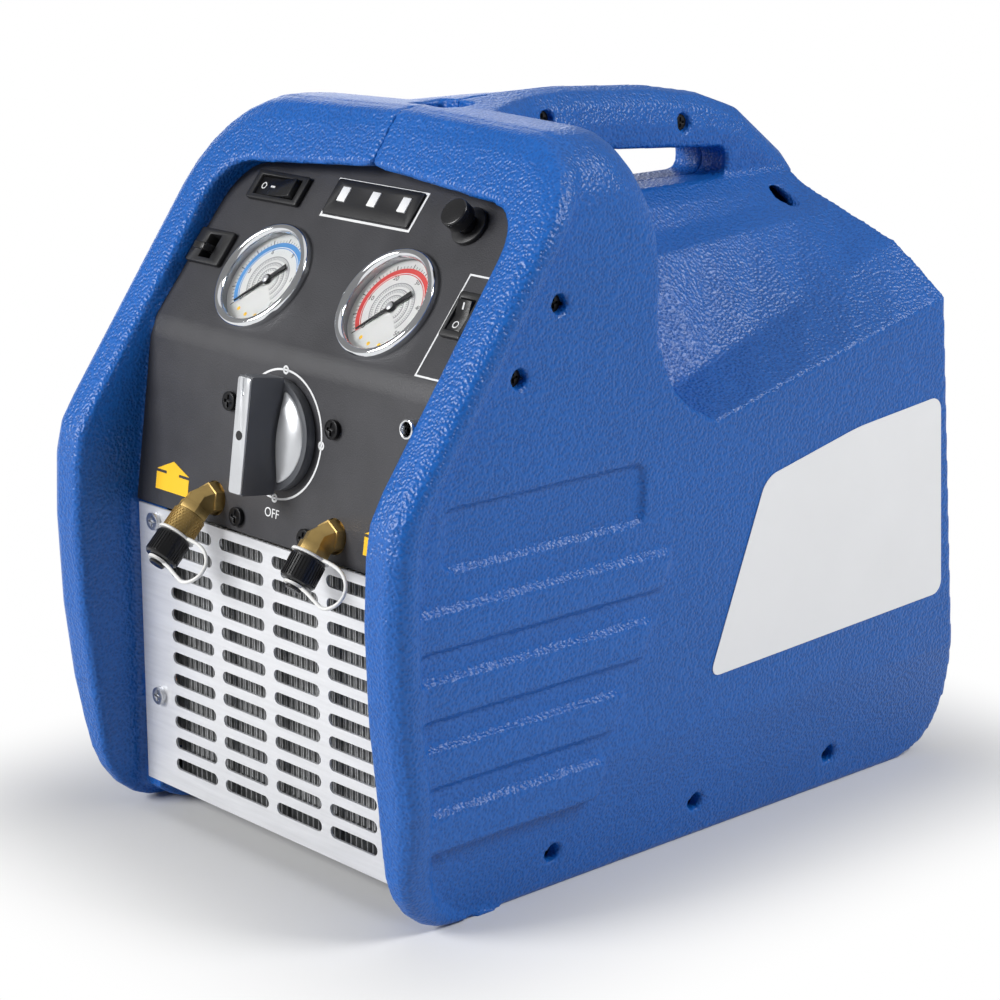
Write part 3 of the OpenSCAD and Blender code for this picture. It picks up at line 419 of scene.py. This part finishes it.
tether_plastic = finish("tether_plastic", (228, 228, 226), 0.4, 0.05, vary=0.04)
lamp_plastic = finish("lamp_plastic", (238, 239, 240), 0.25, 0.03, vary=0.02)
print("plastics and paint", len(bpy.data.materials))

# %% [markdown]
# ### Metals
#
# The grille is bare sheet, brushed in one direction: its noise is stretched, which draws the fine
# lines. Worn and cast metals scatter light, so only chrome, zinc and copper are wholly metallic.

# %% Metals
sheet_metal = finish("brushed_grille_sheet", (226, 227, 230), 0.36, 0.1, metallic=0.45, vary=0.05,
                     vary_scale=30, grain_scale=500, stretch=(1, 1, 14))
chrome = finish("chrome", (225, 227, 230), 0.1, 0.02, metallic=1, vary=0.04, rough_vary=0.04)
satin_silver = finish("satin_silver", (206, 208, 211), 0.32, 0.06, metallic=0.7, vary=0.05,
                      grain_scale=1200)
turned_brass = finish("turned_brass", (182, 154, 96), 0.4, 0.1, metallic=0.75, vary=0.16,
                      vary_scale=120)
zinc_steel = finish("zinc_steel", (190, 192, 196), 0.32, 0.08, metallic=1, vary=0.08, vary_scale=90)
fin_metal = finish("condenser_fin_metal", (176, 177, 178), 0.45, 0.1, metallic=0.5, vary=0.25,
                   vary_scale=160)
raw_copper = finish("raw_copper", (196, 120, 78), 0.32, 0.06, metallic=1, vary=0.12)
screw_black = finish("black_oxide_screw", (26, 26, 28), 0.35, 0.08, metallic=0.6, vary=0.15)
print("with metals", len(bpy.data.materials))

# %% [markdown]
# ### Print, film and glass
#
# Ink and film are smooth and even, so they vary very little. The gauge lens is thin and clear: a low
# index of refraction keeps the dial behind it straight and bright.

# %% Print, film and glass
white_print = finish("white_print", (232, 233, 234), 0.5, 0.03, vary=0.03)
dial_paper = finish("dial_face", (236, 237, 236), 0.55, 0.02, vary=0.02)
dial_black = finish("dial_black_print", (30, 30, 34), 0.5, 0.02, vary=0.08)
dial_grey = finish("dial_grey_print", (150, 152, 156), 0.5, 0.02, vary=0.05)
dial_blue = finish("dial_blue_print", (70, 140, 205), 0.5, 0.02, vary=0.04)
dial_red = finish("dial_red_print", (205, 62, 58), 0.5, 0.02, vary=0.04)
yellow_film = finish("arrow_yellow_film", (246, 196, 38), 0.45, 0.03, vary=0.03)
label_film = finish("bare_label_film", (238, 239, 241), 0.38, 0.04, vary=0.015, vary_scale=20,
                    grain_scale=1800)
lens_glass, lens_tree, lens_shader = blank("gauge_lens")
wire(lens_tree, lens_shader, {"Base Color": (1, 1, 1, 1), "Roughness": 0.03,
                              "Transmission Weight": 1.0, "IOR": 1.1})
print("finishes", len(bpy.data.materials))

# %% [markdown]
# ## Finishes for the solids that stay
#
# Solids whose shape is already right keep their own mesh and only get a finish. Most of them are the
# machinery inside, which shows through the slots at best.

# %% Finishes on the solids
plain = {
    sheet_metal: ["front_grille"],
    zinc_steel: ["base_tray", "low_gauge_case", "high_gauge_case", "inlet_pins", "fan_motor"],
    satin_black: ["pressure_switch", "fan_shroud", "fan_blade"],
    dial_paper: ["low_gauge_dial", "high_gauge_dial"],
    lens_glass: ["low_gauge_lens", "high_gauge_lens"],
    turned_brass: ["valve_manifold"],
    tether_plastic: ["run_capacitor"],
    fin_metal: ["condenser_fins", "crankcase", "cylinder_heads"],
    raw_copper: ["condenser_tubes", "suction_pipe", "discharge_pipe", "liquid_pipe"],
    motor_paint: ["drive_motor"],
    mount_rubber: ["compressor_mounts"],
}
for material, solids in plain.items():
    for node in solids:
        nodes[node].data.materials.clear()
        nodes[node].data.materials.append(material)
print("plain solids", sum(len(solids) for solids in plain.values()))

# %% [markdown]
# ## The moulded housing
#
# The two halves are blow-moulded plastic: every edge is rounded over a few millimetres. A bevel
# would have to find its way round hundreds of facets, so a copy of each half is remeshed to an even
# grid and relaxed, which rounds all edges alike and keeps the halves' parting line as a fine groove.
# The grid is then thinned, and takes its shading normals from the even grid so that the long
# triangles don't show.

# %% Housing halves
WELD = 0.00001
VOXEL = 1.5 * MM
RELAX_SHARE, RELAX_ROUNDS = 0.5, 3
MOST_TRIANGLES = 185000


def merged_copy(node, name, flatten=True):
    obj = linked(name, nodes[node].data.copy())
    edit(obj)
    bpy.ops.mesh.remove_doubles(threshold=WELD)
    if flatten:
        bpy.ops.mesh.dissolve_limited(angle_limit=math.radians(1))
    done()
    return obj


def moulded(node, name):
    obj = merged_copy(node, name, flatten=False)
    apply_modifier(obj, "REMESH", mode="VOXEL", voxel_size=VOXEL)
    apply_modifier(obj, "SMOOTH", factor=RELAX_SHARE, iterations=RELAX_ROUNDS)
    only(obj)
    bpy.ops.object.shade_smooth()
    even = linked("even_grid", obj.data.copy())
    grid = len(obj.data.polygons)
    apply_modifier(obj, "DECIMATE", ratio=min(1, MOST_TRIANGLES / (2 * grid)))
    apply_modifier(obj, "DATA_TRANSFER", object=even, use_loop_data=True,
                   data_types_loops={"CUSTOM_NORMAL"}, loop_mapping="POLYINTERP_NEAREST")
    bpy.data.objects.remove(even)
    dress(obj, blue_plastic, "housing", [node])
    print(name, grid, "cells, thinned to", len(obj.data.polygons))


moulded("right_shell", "housing_right")
moulded("left_shell", "housing_left")

# %% [markdown]
# ## Eased edges on the hard parts
#
# Switch frames, rockers, buttons, knob, hex fittings and screws come out of a mould or off a lathe
# with a small radius on every edge, and it is that radius that catches the light. A copy of each
# solid has its flat facets dissolved and its edges bevelled; the copy then stands in for the solid.

# %% Bevelled copies
SHARP_FROM = 40


def eased(node, material, width, body="housing", segments=2):
    obj = merged_copy(node, "eased_" + node)
    apply_modifier(obj, "BEVEL", width=width * MM, segments=segments, limit_method="ANGLE",
                   angle_limit=math.radians(SHARP_FROM))
    return dress(soften(obj, SHARP_FROM), material, body, [node])


for node in ("power_switch_body", "breaker_body", "mode_switch_body", "start_collar",
             "indicator_plate", "power_inlet"):
    eased(node, satin_black, 0.5)
eased("power_rocker", gloss_black, 0.5, "power_rocker_body")
eased("mode_rocker", gloss_black, 0.4, "mode_rocker_body")
eased("breaker_toggle", gloss_black, 0.7, "breaker_paddle")
eased("start_button", gloss_black, 0.9, "start_plunger", 3)
eased("selector_knob", knob_grey, 0.9, "selector", 3)
eased("vent_stub", chrome, 0.3)
eased("selector_face", satin_silver, 0.3, "selector")
eased("indicator_lenses", lamp_plastic, 0.3)
eased("inlet_elbow", turned_brass, 0.6)
eased("outlet_elbow", turned_brass, 0.6)
eased("grille_screws", zinc_steel, 0.5)
for node in ("panel_screws", "hood_screws", "base_screws", "handle_screws"):
    eased(node, screw_black, 0.35)

# %% [markdown]
# ## The bend of the panel
#
# The panel is folded over a broad radius, which shows as a soft change of shade between its halves.
# On a copy, only the edges along the fold get a bevel weight, so that the holes keep their crisp
# edges. Normals weighted by area keep the large faces evenly shaded up to the fold.

# %% Folded panel
FOLD_WIDTH = 6.5
FOLD_REACH, LEVEL_WITHIN = 0.004, 0.0002
folded = merged_copy("control_panel", "folded_panel")
weights = folded.data.attributes.new("bevel_weight_edge", "FLOAT", "EDGE")
for edge in folded.data.edges:
    a, b = [folded.data.vertices[v].co for v in edge.vertices]
    level = abs(a.z - b.z) < LEVEL_WITHIN and abs(a.y - b.y) < LEVEL_WITHIN
    at_fold = max((Vector((0, end.y, end.z)) - BEND).length for end in (a, b)) < FOLD_REACH
    weights.data[edge.index].value = 1.0 if level and at_fold else 0.0
print("fold edges", sum(w.value > 0 for w in weights.data))
apply_modifier(folded, "BEVEL", width=FOLD_WIDTH * MM, segments=8, limit_method="WEIGHT")
soften(folded, 30)
apply_modifier(folded, "WEIGHTED_NORMAL", mode="FACE_AREA", weight=100, keep_sharp=True)
dress(folded, panel_coat, "housing", ["control_panel"])

# %% [markdown]
# ## Half-moons of the selector
#
# On either side of the grip the knob carries a satin silver half-moon that swells from the rim up
# towards the grip. A flat plate would shine all at once; a low turned dome, cut off beside the grip,
# gives the curved gleam of the real one.

# %% Domed half-moons
SELECTOR_S = 51
MOON_SECTION = [(0, 3.6), (22.9, 3.6), (22.9, 5.2), (22.3, 6), (15, 7.4), (7, 8.8), (0, 9.4)]
MOON_FROM, MOON_EDGE = 7.5, 0.4
moons = []
for side in (1, -1):
    moon = turned("half_moon", MOON_SECTION, steps=96)
    edit(moon)
    bpy.ops.mesh.bisect(plane_co=(side * MOON_FROM * MM, 0, 0), plane_no=(side, 0, 0),
                        clear_inner=True, use_fill=True)
    done()
    moons.append(apply_modifier(moon, "BEVEL", width=MOON_EDGE * MM, segments=2,
                                limit_method="ANGLE", angle_limit=math.radians(50)))
half_moons = place(join(moons, "selector_half_moons"), on_lower(0, SELECTOR_S))
dress(soften(half_moons, 45), satin_silver, "selector", ["selector_inlays"])
print("half-moon faces", len(half_moons.data.polygons))

# %% [markdown]
# ## Dials of the pressure gauges
#
# The printed dial carries a coloured scale band, blue on the low side and red on the high side, with
# black ticks, plain numbers and grey inner scales, all over three quarters of a turn from the lower
# left. Each print is a thin relief of its own rather than a texture, so that it stays sharp close up.

# %% Dial print
SCALE_START, SCALE_SWEEP = 225, 270
PRINT = 0.06
FIGURE_SIZE, FIGURE_RADIUS = 3.4, 16.4
SPOT_TURNS, SPOT_RADIUS = (-118, -97, -76), 19.4
RING_WIDTH, GREY_TICK = 0.4, 0.28
INNER_RINGS = (12.8, 9.5, 6.4)
INNER_TICKS = [(1.6, 12.0, 61), (1.4, 8.8, 41), (1.2, 5.8, 25)]


def band(name, inner, outer):
    return turned(name, flat_ring(inner, outer, PRINT), SCALE_SWEEP, SCALE_START)


def ticks(name, length, width, radius, count):
    return bars(name, (length, width, PRINT), radius, PRINT / 2, count, SCALE_SWEEP, SCALE_START)


def dial(side, face, scale_colour, figures):
    def printed(parts, name, ink):
        dress(place(join(parts, side + name), face), ink, "housing")

    printed([band("scale_band", 18.4, 20.8), band("scale_line", 17.5, 17.9)], "_scale", scale_colour)
    spots = [turned("class_spot", flat_ring(0, 1.0, PRINT), steps=24) for _ in SPOT_TURNS]
    for spot, turn in zip(spots, SPOT_TURNS):
        place(spot, rotation(turn) @ shift(SPOT_RADIUS, 0, 0))
    printed(spots, "_class_spots", yellow_film)
    black = [ticks("fine_ticks", 1.2, 0.22, 21.5, 51), ticks("main_ticks", 2.2, 0.42, 22.0, 11)]
    for i, text in enumerate(figures):
        angle = math.radians(SCALE_START - SCALE_SWEEP * i / (len(figures) - 1))
        black.append(figure(text, FIGURE_SIZE, FIGURE_RADIUS * math.cos(angle),
                            FIGURE_RADIUS * math.sin(angle)))
    printed(black, "_dial_print", dial_black)
    grey = [band("inner_ring", inner, inner + RING_WIDTH) for inner in INNER_RINGS]
    grey += [ticks("inner_ticks", length, GREY_TICK, radius, count)
             for length, radius, count in INNER_TICKS]
    printed(grey, "_inner_scales", dial_grey)


# %% [markdown]
# ## Bezels and pointers
#
# Each gauge has a pressed chrome bezel over its lens, turned from one section whose lip curls in
# over the glass. The pointer has a long thin tip and a broad tail, cut from sheet, and a silver button
# on its hub. It rides on its own body, so that it can turn over the dial.

# %% Bezels and pointers
GAUGE_X, GAUGE_S = 45.4, 36
DIAL_H, POINTER_H, BLADE_H = -2.98, -2.4, 0.2
BEZEL_SECTION = [(28.5, 0), (28.5, 2.2), (28.1, 3.3), (27.3, 4.0), (26.2, 4.3), (25.2, 4.0),
                 (24.4, 3.2), (24.0, 2.15), (26.85, 2.15), (26.85, 0)]
BLADE_OUTLINE = [(-12, -1.5), (-2, -1.0), (20, -0.25), (20, 0.25), (-2, 1.0), (-12, 1.5)]
BLADE_THICKNESS = 0.6
HUB_SECTION = [(0, 0), (2.7, 0), (2.7, 0.9), (2.2, 1.3), (0, 1.4)]
HUB_BUTTON_SECTION = [(0, 1.3), (1.9, 1.3), (1.9, 1.6), (1.5, 1.9), (0, 2.0)]


def pointer(side, x, body):
    blade = film("blade", BLADE_OUTLINE, BLADE_THICKNESS)
    hub = turned("hub", HUB_SECTION, steps=32)
    needle = join([place(blade, shift(0, 0, BLADE_H)), hub], side + "_pointer")
    place(needle, on_upper(x, GAUGE_S, POINTER_H, SCALE_START))
    dress(soften(needle), dial_black, body, [side + "_gauge_pointer"])
    button = turned(side + "_hub_button", HUB_BUTTON_SECTION, steps=28)
    place(button, on_upper(x, GAUGE_S, POINTER_H))
    dress(soften(button), satin_silver, body)


def gauge(side, x, scale_colour, figures, body):
    bezel = place(turned(side + "_bezel_ring", BEZEL_SECTION), on_upper(x, GAUGE_S))
    dress(soften(bezel, 50), chrome, "housing", [side + "_gauge_bezel"])
    dial(side, on_upper(x, GAUGE_S, DIAL_H), scale_colour, figures)
    pointer(side, x, body)
    print(side, "gauge, bezel faces", len(bezel.data.polygons))


gauge("low", -GAUGE_X, dial_blue, ["0", "3", "6", "9", "12", "15"], "low_needle")
gauge("high", GAUGE_X, dial_red, ["0", "10", "20", "30", "40", "50"], "high_needle")

# %% [markdown]
# ## Marks on the panel
#
# The panel's marks are thin white ink: a frame round the lamps, the frame of the mode switch, and
# the selector's circle with a small ring at each of its four places and the off mark below it. They
# are flat shapes with a little thickness, so they sit on the coat without flickering through it.

# %% Panel print
INK = 0.12
PRINT_LIFT = 0.05
LAMP_FRAME, LAMP_FRAME_AT = (65, 21.4, 1.2), (0.5, 83.5)
MODE_FRAME, MODE_FRAME_AT = (21, 53, 0.9), (95.5, 32.5)
PLACE_RADIUS = 30.1
OFF_SIZE, OFF_AT = 6.2, (-1, -37.6)


def white_mark(obj, matrix, body="housing"):
    return dress(place(obj, matrix), white_print, body)


white_mark(outline("lamp_frame", *LAMP_FRAME, INK), on_upper(*LAMP_FRAME_AT))
white_mark(outline("mode_frame", *MODE_FRAME, INK), on_upper(*MODE_FRAME_AT))
circle = [turned("selector_circle", flat_ring(29.6, 30.6, INK), steps=96)]
for turn in (0, 90, 180, 270):
    small = turned("place_ring", flat_ring(1.1, 2.1, INK), steps=28)
    angle = math.radians(turn)
    circle.append(place(small, shift(PLACE_RADIUS * math.cos(angle),
                                     PLACE_RADIUS * math.sin(angle), 0)))
circle.append(figure("OFF", OFF_SIZE, *OFF_AT))
white_mark(join(circle, "selector_print"), on_lower(0, SELECTOR_S, PRINT_LIFT))
print("selector marks", len(circle))

# %% [markdown]
# ## Marks on the rockers
#
# A rocker's face is a shallow V that tips about its pivot, with the usual line and circle on it. Each
# mark is laid on the slope of its own half and rides on the rocker, so it tilts when the switch does.

# %% Marks on the rockers
ROCKER_TILT = 8
ROCKER_PIVOT_H, ROCKER_FACE, ROCKER_RISE = -1, 2.62, 1.6
POWER_SWITCH = {"x": -69, "s": 82.5, "turn": 0, "half": 15, "body": "power_rocker_body"}
MODE_SWITCH = {"x": 95, "s": 38, "turn": 90, "half": 7.5, "body": "mode_rocker_body"}


def rocker_mark(obj, switch, at):
    rise = ROCKER_RISE / switch["half"]
    lean = math.degrees(math.copysign(math.atan(rise), -at))
    pivot = on_upper(switch["x"], switch["s"], ROCKER_PIVOT_H, switch["turn"])
    on_face = shift(at, 0, ROCKER_FACE + abs(at) * rise) @ rotation(lean, "Y")
    white_mark(obj, pivot @ rotation(-ROCKER_TILT, "Y") @ on_face, switch["body"])


def circle_mark(name):
    return turned(name, flat_ring(1.3, 1.8, INK), steps=32)


def line_mark(name):
    return outline(name, 3.2, 0.9, 0.4, INK)


rocker_mark(circle_mark("power_circle"), POWER_SWITCH, -11)
rocker_mark(line_mark("power_line"), POWER_SWITCH, -4)
rocker_mark(circle_mark("mode_circle"), MODE_SWITCH, -4.5)
rocker_mark(line_mark("mode_line"), MODE_SWITCH, 4.5)
print("rocker marks on", POWER_SWITCH["body"], MODE_SWITCH["body"])

# %% [markdown]
# ## Arrows and the grip's dot
#
# Two bare arrows of yellow film point up beside the ports, each with a slit under its head. They are
# cut from one outline. A small black dot marks the middle of the selector's grip.

# %% Arrows and the grip's dot
ARROW_X, ARROW_FILM = 79, 0.2
ARROW_OUTLINE = [(-13, 8), (13, 8), (13, 16.4), (5, 16.4), (5, 17.8), (13, 17.8), (0, 23.2),
                 (-13, 17.8), (-5, 17.8), (-5, 16.4), (-13, 16.4)]
GRIP_H = 24
for side in (-1, 1):
    arrow = film("yellow_arrow", ARROW_OUTLINE, ARROW_FILM)
    dress(place(arrow, on_lower(ARROW_X * side, 0)), yellow_film, "housing")
dot = turned("grip_dot", flat_ring(0, 2.2, 0.2), steps=28)
dress(place(dot, on_lower(0, SELECTOR_S, GRIP_H)), gloss_black, "selector")
print("arrow faces", len(arrow.data.polygons))

# %% [markdown]
# ## Hose ports
#
# The ports leave the panel through a hex elbow and turn down. Each is closed by a ribbed plastic cap
# with a button on its end, held by a tether: a moulded strap with one eye round the neck of the port
# and one round the button. The cap is turned and its ribs are spun round it; the strap is a curve
# with a round section. Heights are measured along the branch, from the foot of the cap.

# %% Caps and tethers
PORT_X, PORT_S, PORT_H = 45, 12, 8
INLET_BRANCH, OUTLET_BRANCH = 53, 60
INLET_CAP_FOOT, OUTLET_CAP_FOOT = 22.1, 10.6
CAP_SECTION = [(5.75, 0), (7.9, 0), (8.3, 0.5), (8.3, 12.2), (7.6, 13), (2.4, 13), (2.4, 15),
               (4, 15), (4, 15.9), (3.5, 16.4), (0, 16.4), (0, 10.5), (5.75, 10.5)]
RIB_SIZE, RIB_RADIUS, RIB_MIDDLE, RIBS = (0.8, 0.75, 10.2), 8.3, 6.4, 36
NECK_EYE = [(5.9, -1.5), (9.2, -1.5), (9.5, -0.9), (9.2, -0.3), (5.9, -0.3)]
BUTTON_EYE = flat_ring(2.8, 5.6, 1.2, 13.5)
STRAP_ROUTE = [(7.5, -1.1), (17, -0.4), (25, 2), (31, 6.5), (33, 12), (31, 17), (25, 20.5),
               (17, 18), (9, 15.2), (4, 14.1)]
STRAP_RADIUS = 0.9


def branch(x, angle):
    return on_lower(x, PORT_S, PORT_H) @ rotation(angle, "X")


def strap(z):
    obj = added("strap", bpy.ops.curve.primitive_nurbs_path_add)
    spline = obj.data.splines[0]
    spline.points.add(len(STRAP_ROUTE) - len(spline.points))
    for point, (x, along) in zip(spline.points, STRAP_ROUTE):
        point.co = (x * MM, 0, (z + along) * MM, 1)
    spline.use_endpoint_u = True
    spline.order_u = 3
    obj.data.bevel_depth = STRAP_RADIUS * MM
    obj.data.bevel_resolution = 4
    bpy.ops.object.convert(target="MESH")
    return bpy.context.object


def port(side, x, angle, z, body):
    here = branch(x, angle)
    cap = turned("cap_body", raised(CAP_SECTION, z))
    ribs = bars("cap_ribs", RIB_SIZE, RIB_RADIUS, z + RIB_MIDDLE, RIBS)
    ribbed = place(join([cap, ribs], side + "_ribbed_cap"), here)
    dress(soften(ribbed), gloss_black, body, [side + "_cap"])
    eyes = [turned("neck_eye", raised(NECK_EYE, z)), turned("button_eye", raised(BUTTON_EYE, z))]
    tether = place(join([strap(z)] + eyes, side + "_cap_tether"), here)
    dress(soften(tether, 50), tether_plastic, "housing", [side + "_tether"])
    print(side, "cap faces", len(ribbed.data.polygons))


port("inlet", -PORT_X, INLET_BRANCH, INLET_CAP_FOOT, "inlet_cover")
port("outlet", PORT_X, OUTLET_BRANCH, OUTLET_CAP_FOOT, "outlet_cover")

# %% [markdown]
# ## Knurled filter
#
# The inlet screws into a brass filter body with a diamond knurl to grip it by. Bump could fake the
# knurl, but it shows on the outline, so rows of small tilted studs are spun round a turned body, every
# other row half a step on.

# %% Knurled filter
FILTER_SECTION = [(5.65, 9), (7.6, 9), (7.9, 9.4), (7.9, 20.1), (7.6, 20.5), (5.65, 20.5)]
KNURL_SIZE, KNURL_RADIUS = (0.8, 0.95, 0.95), 7.9
KNURLS, KNURL_ROWS, KNURL_FIRST, KNURL_PITCH = 30, 7, 10.4, 1.45
rows = [turned("filter_body", FILTER_SECTION)]
for row in range(KNURL_ROWS):
    rows.append(bars("filter_knurl", KNURL_SIZE, KNURL_RADIUS, KNURL_FIRST + row * KNURL_PITCH,
                     KNURLS, start=(row % 2) * 180 / KNURLS, lean=45))
knurled = place(join(rows, "knurled_filter"), branch(-PORT_X, INLET_BRANCH))
dress(soften(knurled), turned_brass, "housing", ["inlet_filter"])
print("filter faces", len(knurled.data.polygons))

# %% [markdown]
# ## Condenser fins
#
# Behind the grille sits a finned coil. The construction model spaces its fins widely; a real coil
# has them close together, so another fin with folded edges is set in each gap with an array.

# %% Fins in the gaps
FIN_PITCH, FIN_GAPS, FIRST_FIN = 4, 42, -85
FIN_THICKNESS, FIN_FOLD = 0.8, 0.25
SHORT_OF_DEPTH, SHORT_OF_HEIGHT = 0.6, 1
fins_low, fins_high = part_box("condenser_fins")
fins_middle, fins_size = (fins_low + fins_high) / 2, (fins_high - fins_low) / MM
fin = added("gap_fins", bpy.ops.mesh.primitive_cube_add, size=MM)
first_gap = ((FIRST_FIN + FIN_PITCH / 2) * MM, fins_middle.y, fins_middle.z)
place(fin, Matrix.Translation(first_gap) @ Matrix.Diagonal(
    (FIN_THICKNESS, fins_size.y - SHORT_OF_DEPTH, fins_size.z - SHORT_OF_HEIGHT, 1)))
apply_modifier(fin, "BEVEL", width=FIN_FOLD * MM, segments=1)
apply_modifier(fin, "ARRAY", count=FIN_GAPS, use_relative_offset=False, use_constant_offset=True,
               constant_offset_displace=(FIN_PITCH * MM, 0, 0))
dress(fin, fin_metal, "housing")
print("coil", [round(v, 4) for v in (*fins_low, *fins_high)])

# %% [markdown]
# ## Side label
#
# A large white film covers the flat of the right side behind the bands. It stays bare, with rounded
# corners. Its outline is drawn along the side and up, then stood on the wall.

# %% Bare label
SIDE_X = 122.15 * MM
LABEL_FILM, LABEL_ROUNDING = 0.3, 7
LABEL_OUTLINE = [(9, 84), (184, 91), (177, 197), (113, 191), (46, 177)]
on_side = Matrix(((0, 0, 1, SIDE_X), (1, 0, 0, 0), (0, 1, 0, 0), (0, 0, 0, 1)))
label = film("bare_label", LABEL_OUTLINE, LABEL_FILM, LABEL_ROUNDING)
dress(place(label, on_side), label_film, "housing")
print("label corners", len(LABEL_OUTLINE))

# %% [markdown]
# ## Floor
#
# A pale floor turns white away from the machine, as on a studio sweep, so only the machine's shadow
# stays on it. The white is a glow that grows with the distance from the machine's footprint. Only
# the camera, mirror-like surfaces and clear lenses see the glow, so it lights nothing.

# %% Floor
FOOTPRINT = (0.118, 0.175, 0)
SWEEP_REACH = 0.13


def seen_directly(tree):
    rays = new_node(tree, "ShaderNodeLightPath", {}).outputs
    first = new_node(tree, "ShaderNodeMath", {0: rays["Is Camera Ray"], 1: rays["Is Glossy Ray"]},
                     operation="ADD")
    both = new_node(tree, "ShaderNodeMath", {0: first.outputs[0], 1: rays["Is Transmission Ray"]},
                    operation="ADD", use_clamp=True)
    return both.outputs[0]


def vector_step(tree, operation, *terms):
    step = new_node(tree, "ShaderNodeVectorMath", dict(enumerate(terms)), operation=operation)
    return step.outputs


floor = added("floor", bpy.ops.mesh.primitive_plane_add, size=30)
floor_paint, tree, floor_shader = blank("floor_paint")
wire(tree, floor_shader, {"Base Color": (0.72, 0.72, 0.72, 1), "Roughness": 0.9,
                          "Specular IOR Level": 0.0})
spot = new_node(tree, "ShaderNodeTexCoord", {}).outputs["Object"]
mirrored = vector_step(tree, "ABSOLUTE", spot)["Vector"]
beyond = vector_step(tree, "SUBTRACT", mirrored, FOOTPRINT)["Vector"]
outside = vector_step(tree, "MAXIMUM", beyond, (0, 0, 0))["Vector"]
distance = vector_step(tree, "LENGTH", outside)["Value"]
sweep = new_node(tree, "ShaderNodeMapRange", {"Value": distance, "From Min": 0.0,
                                              "From Max": SWEEP_REACH},
                 interpolation_type="SMOOTHSTEP")
share = new_node(tree, "ShaderNodeMath", {0: sweep.outputs["Result"], 1: seen_directly(tree)},
                 operation="MULTIPLY")
glow = new_node(tree, "ShaderNodeEmission", {"Color": (1, 1, 1, 1)})
blend = new_node(tree, "ShaderNodeMixShader", {"Fac": share.outputs[0],
                                               1: floor_shader.outputs["BSDF"],
                                               2: glow.outputs["Emission"]})
wire(tree, tree.nodes["Material Output"], {"Surface": blend.outputs["Shader"]})
floor.data.materials.append(floor_paint)
print("floor nodes", len(tree.nodes))

# %% [markdown]
# ## Lights
#
# A large soft key comes from the front left. A fill from behind on the right lights the long side
# without reaching into the front recess, a soft light hangs above, and another lights the back and
# left side, which the camera doesn't see. The world is dim, and a little brighter in reflections.

# %% Lights
ROOM_LIGHT, ROOM_IN_MIRRORS = 0.1, 0.28


def area_light(name, at, target, size, power):
    lamp = bpy.data.lights.new(name, "AREA")
    lamp.shape = "RECTANGLE"
    lamp.size, lamp.size_y = size
    lamp.energy = power
    obj = linked(name, lamp)
    obj.location = at
    obj.rotation_mode = "QUATERNION"
    obj.rotation_quaternion = (Vector(at) - Vector(target)).to_track_quat("Z", "Y")


area_light("key", (-0.9, -2.3, 1.3), (0, 0, 0.2), (1.2, 1.0), 72)
area_light("fill", (1.7, 1.0, 1.9), (0, 0, 0.15), (1.0, 1.0), 48)
area_light("top", (0.0, 0.4, 2.4), (0, 0, 0.2), (2.0, 2.0), 7)
area_light("rear", (-2.2, 1.3, 0.6), (0, 0, 0.2), (1.4, 1.2), 12)

world = bpy.data.worlds.new("studio")
bpy.context.scene.world = world
world.use_nodes = True
sky = world.node_tree
room = wire(sky, sky.nodes["Background"], {"Color": (1, 1, 1, 1), "Strength": ROOM_LIGHT})
mirror = new_node(sky, "ShaderNodeBackground", {"Color": (1, 1, 1, 1),
                                                "Strength": ROOM_IN_MIRRORS})
sky_mix = new_node(sky, "ShaderNodeMixShader", {"Fac": seen_directly(sky),
                                                1: room.outputs["Background"],
                                                2: mirror.outputs["Background"]})
wire(sky, sky.nodes["World Output"], {"Surface": sky_mix.outputs["Shader"]})
bpy.context.scene.view_settings.view_transform = "Standard"
print("lights", len(bpy.data.lights))
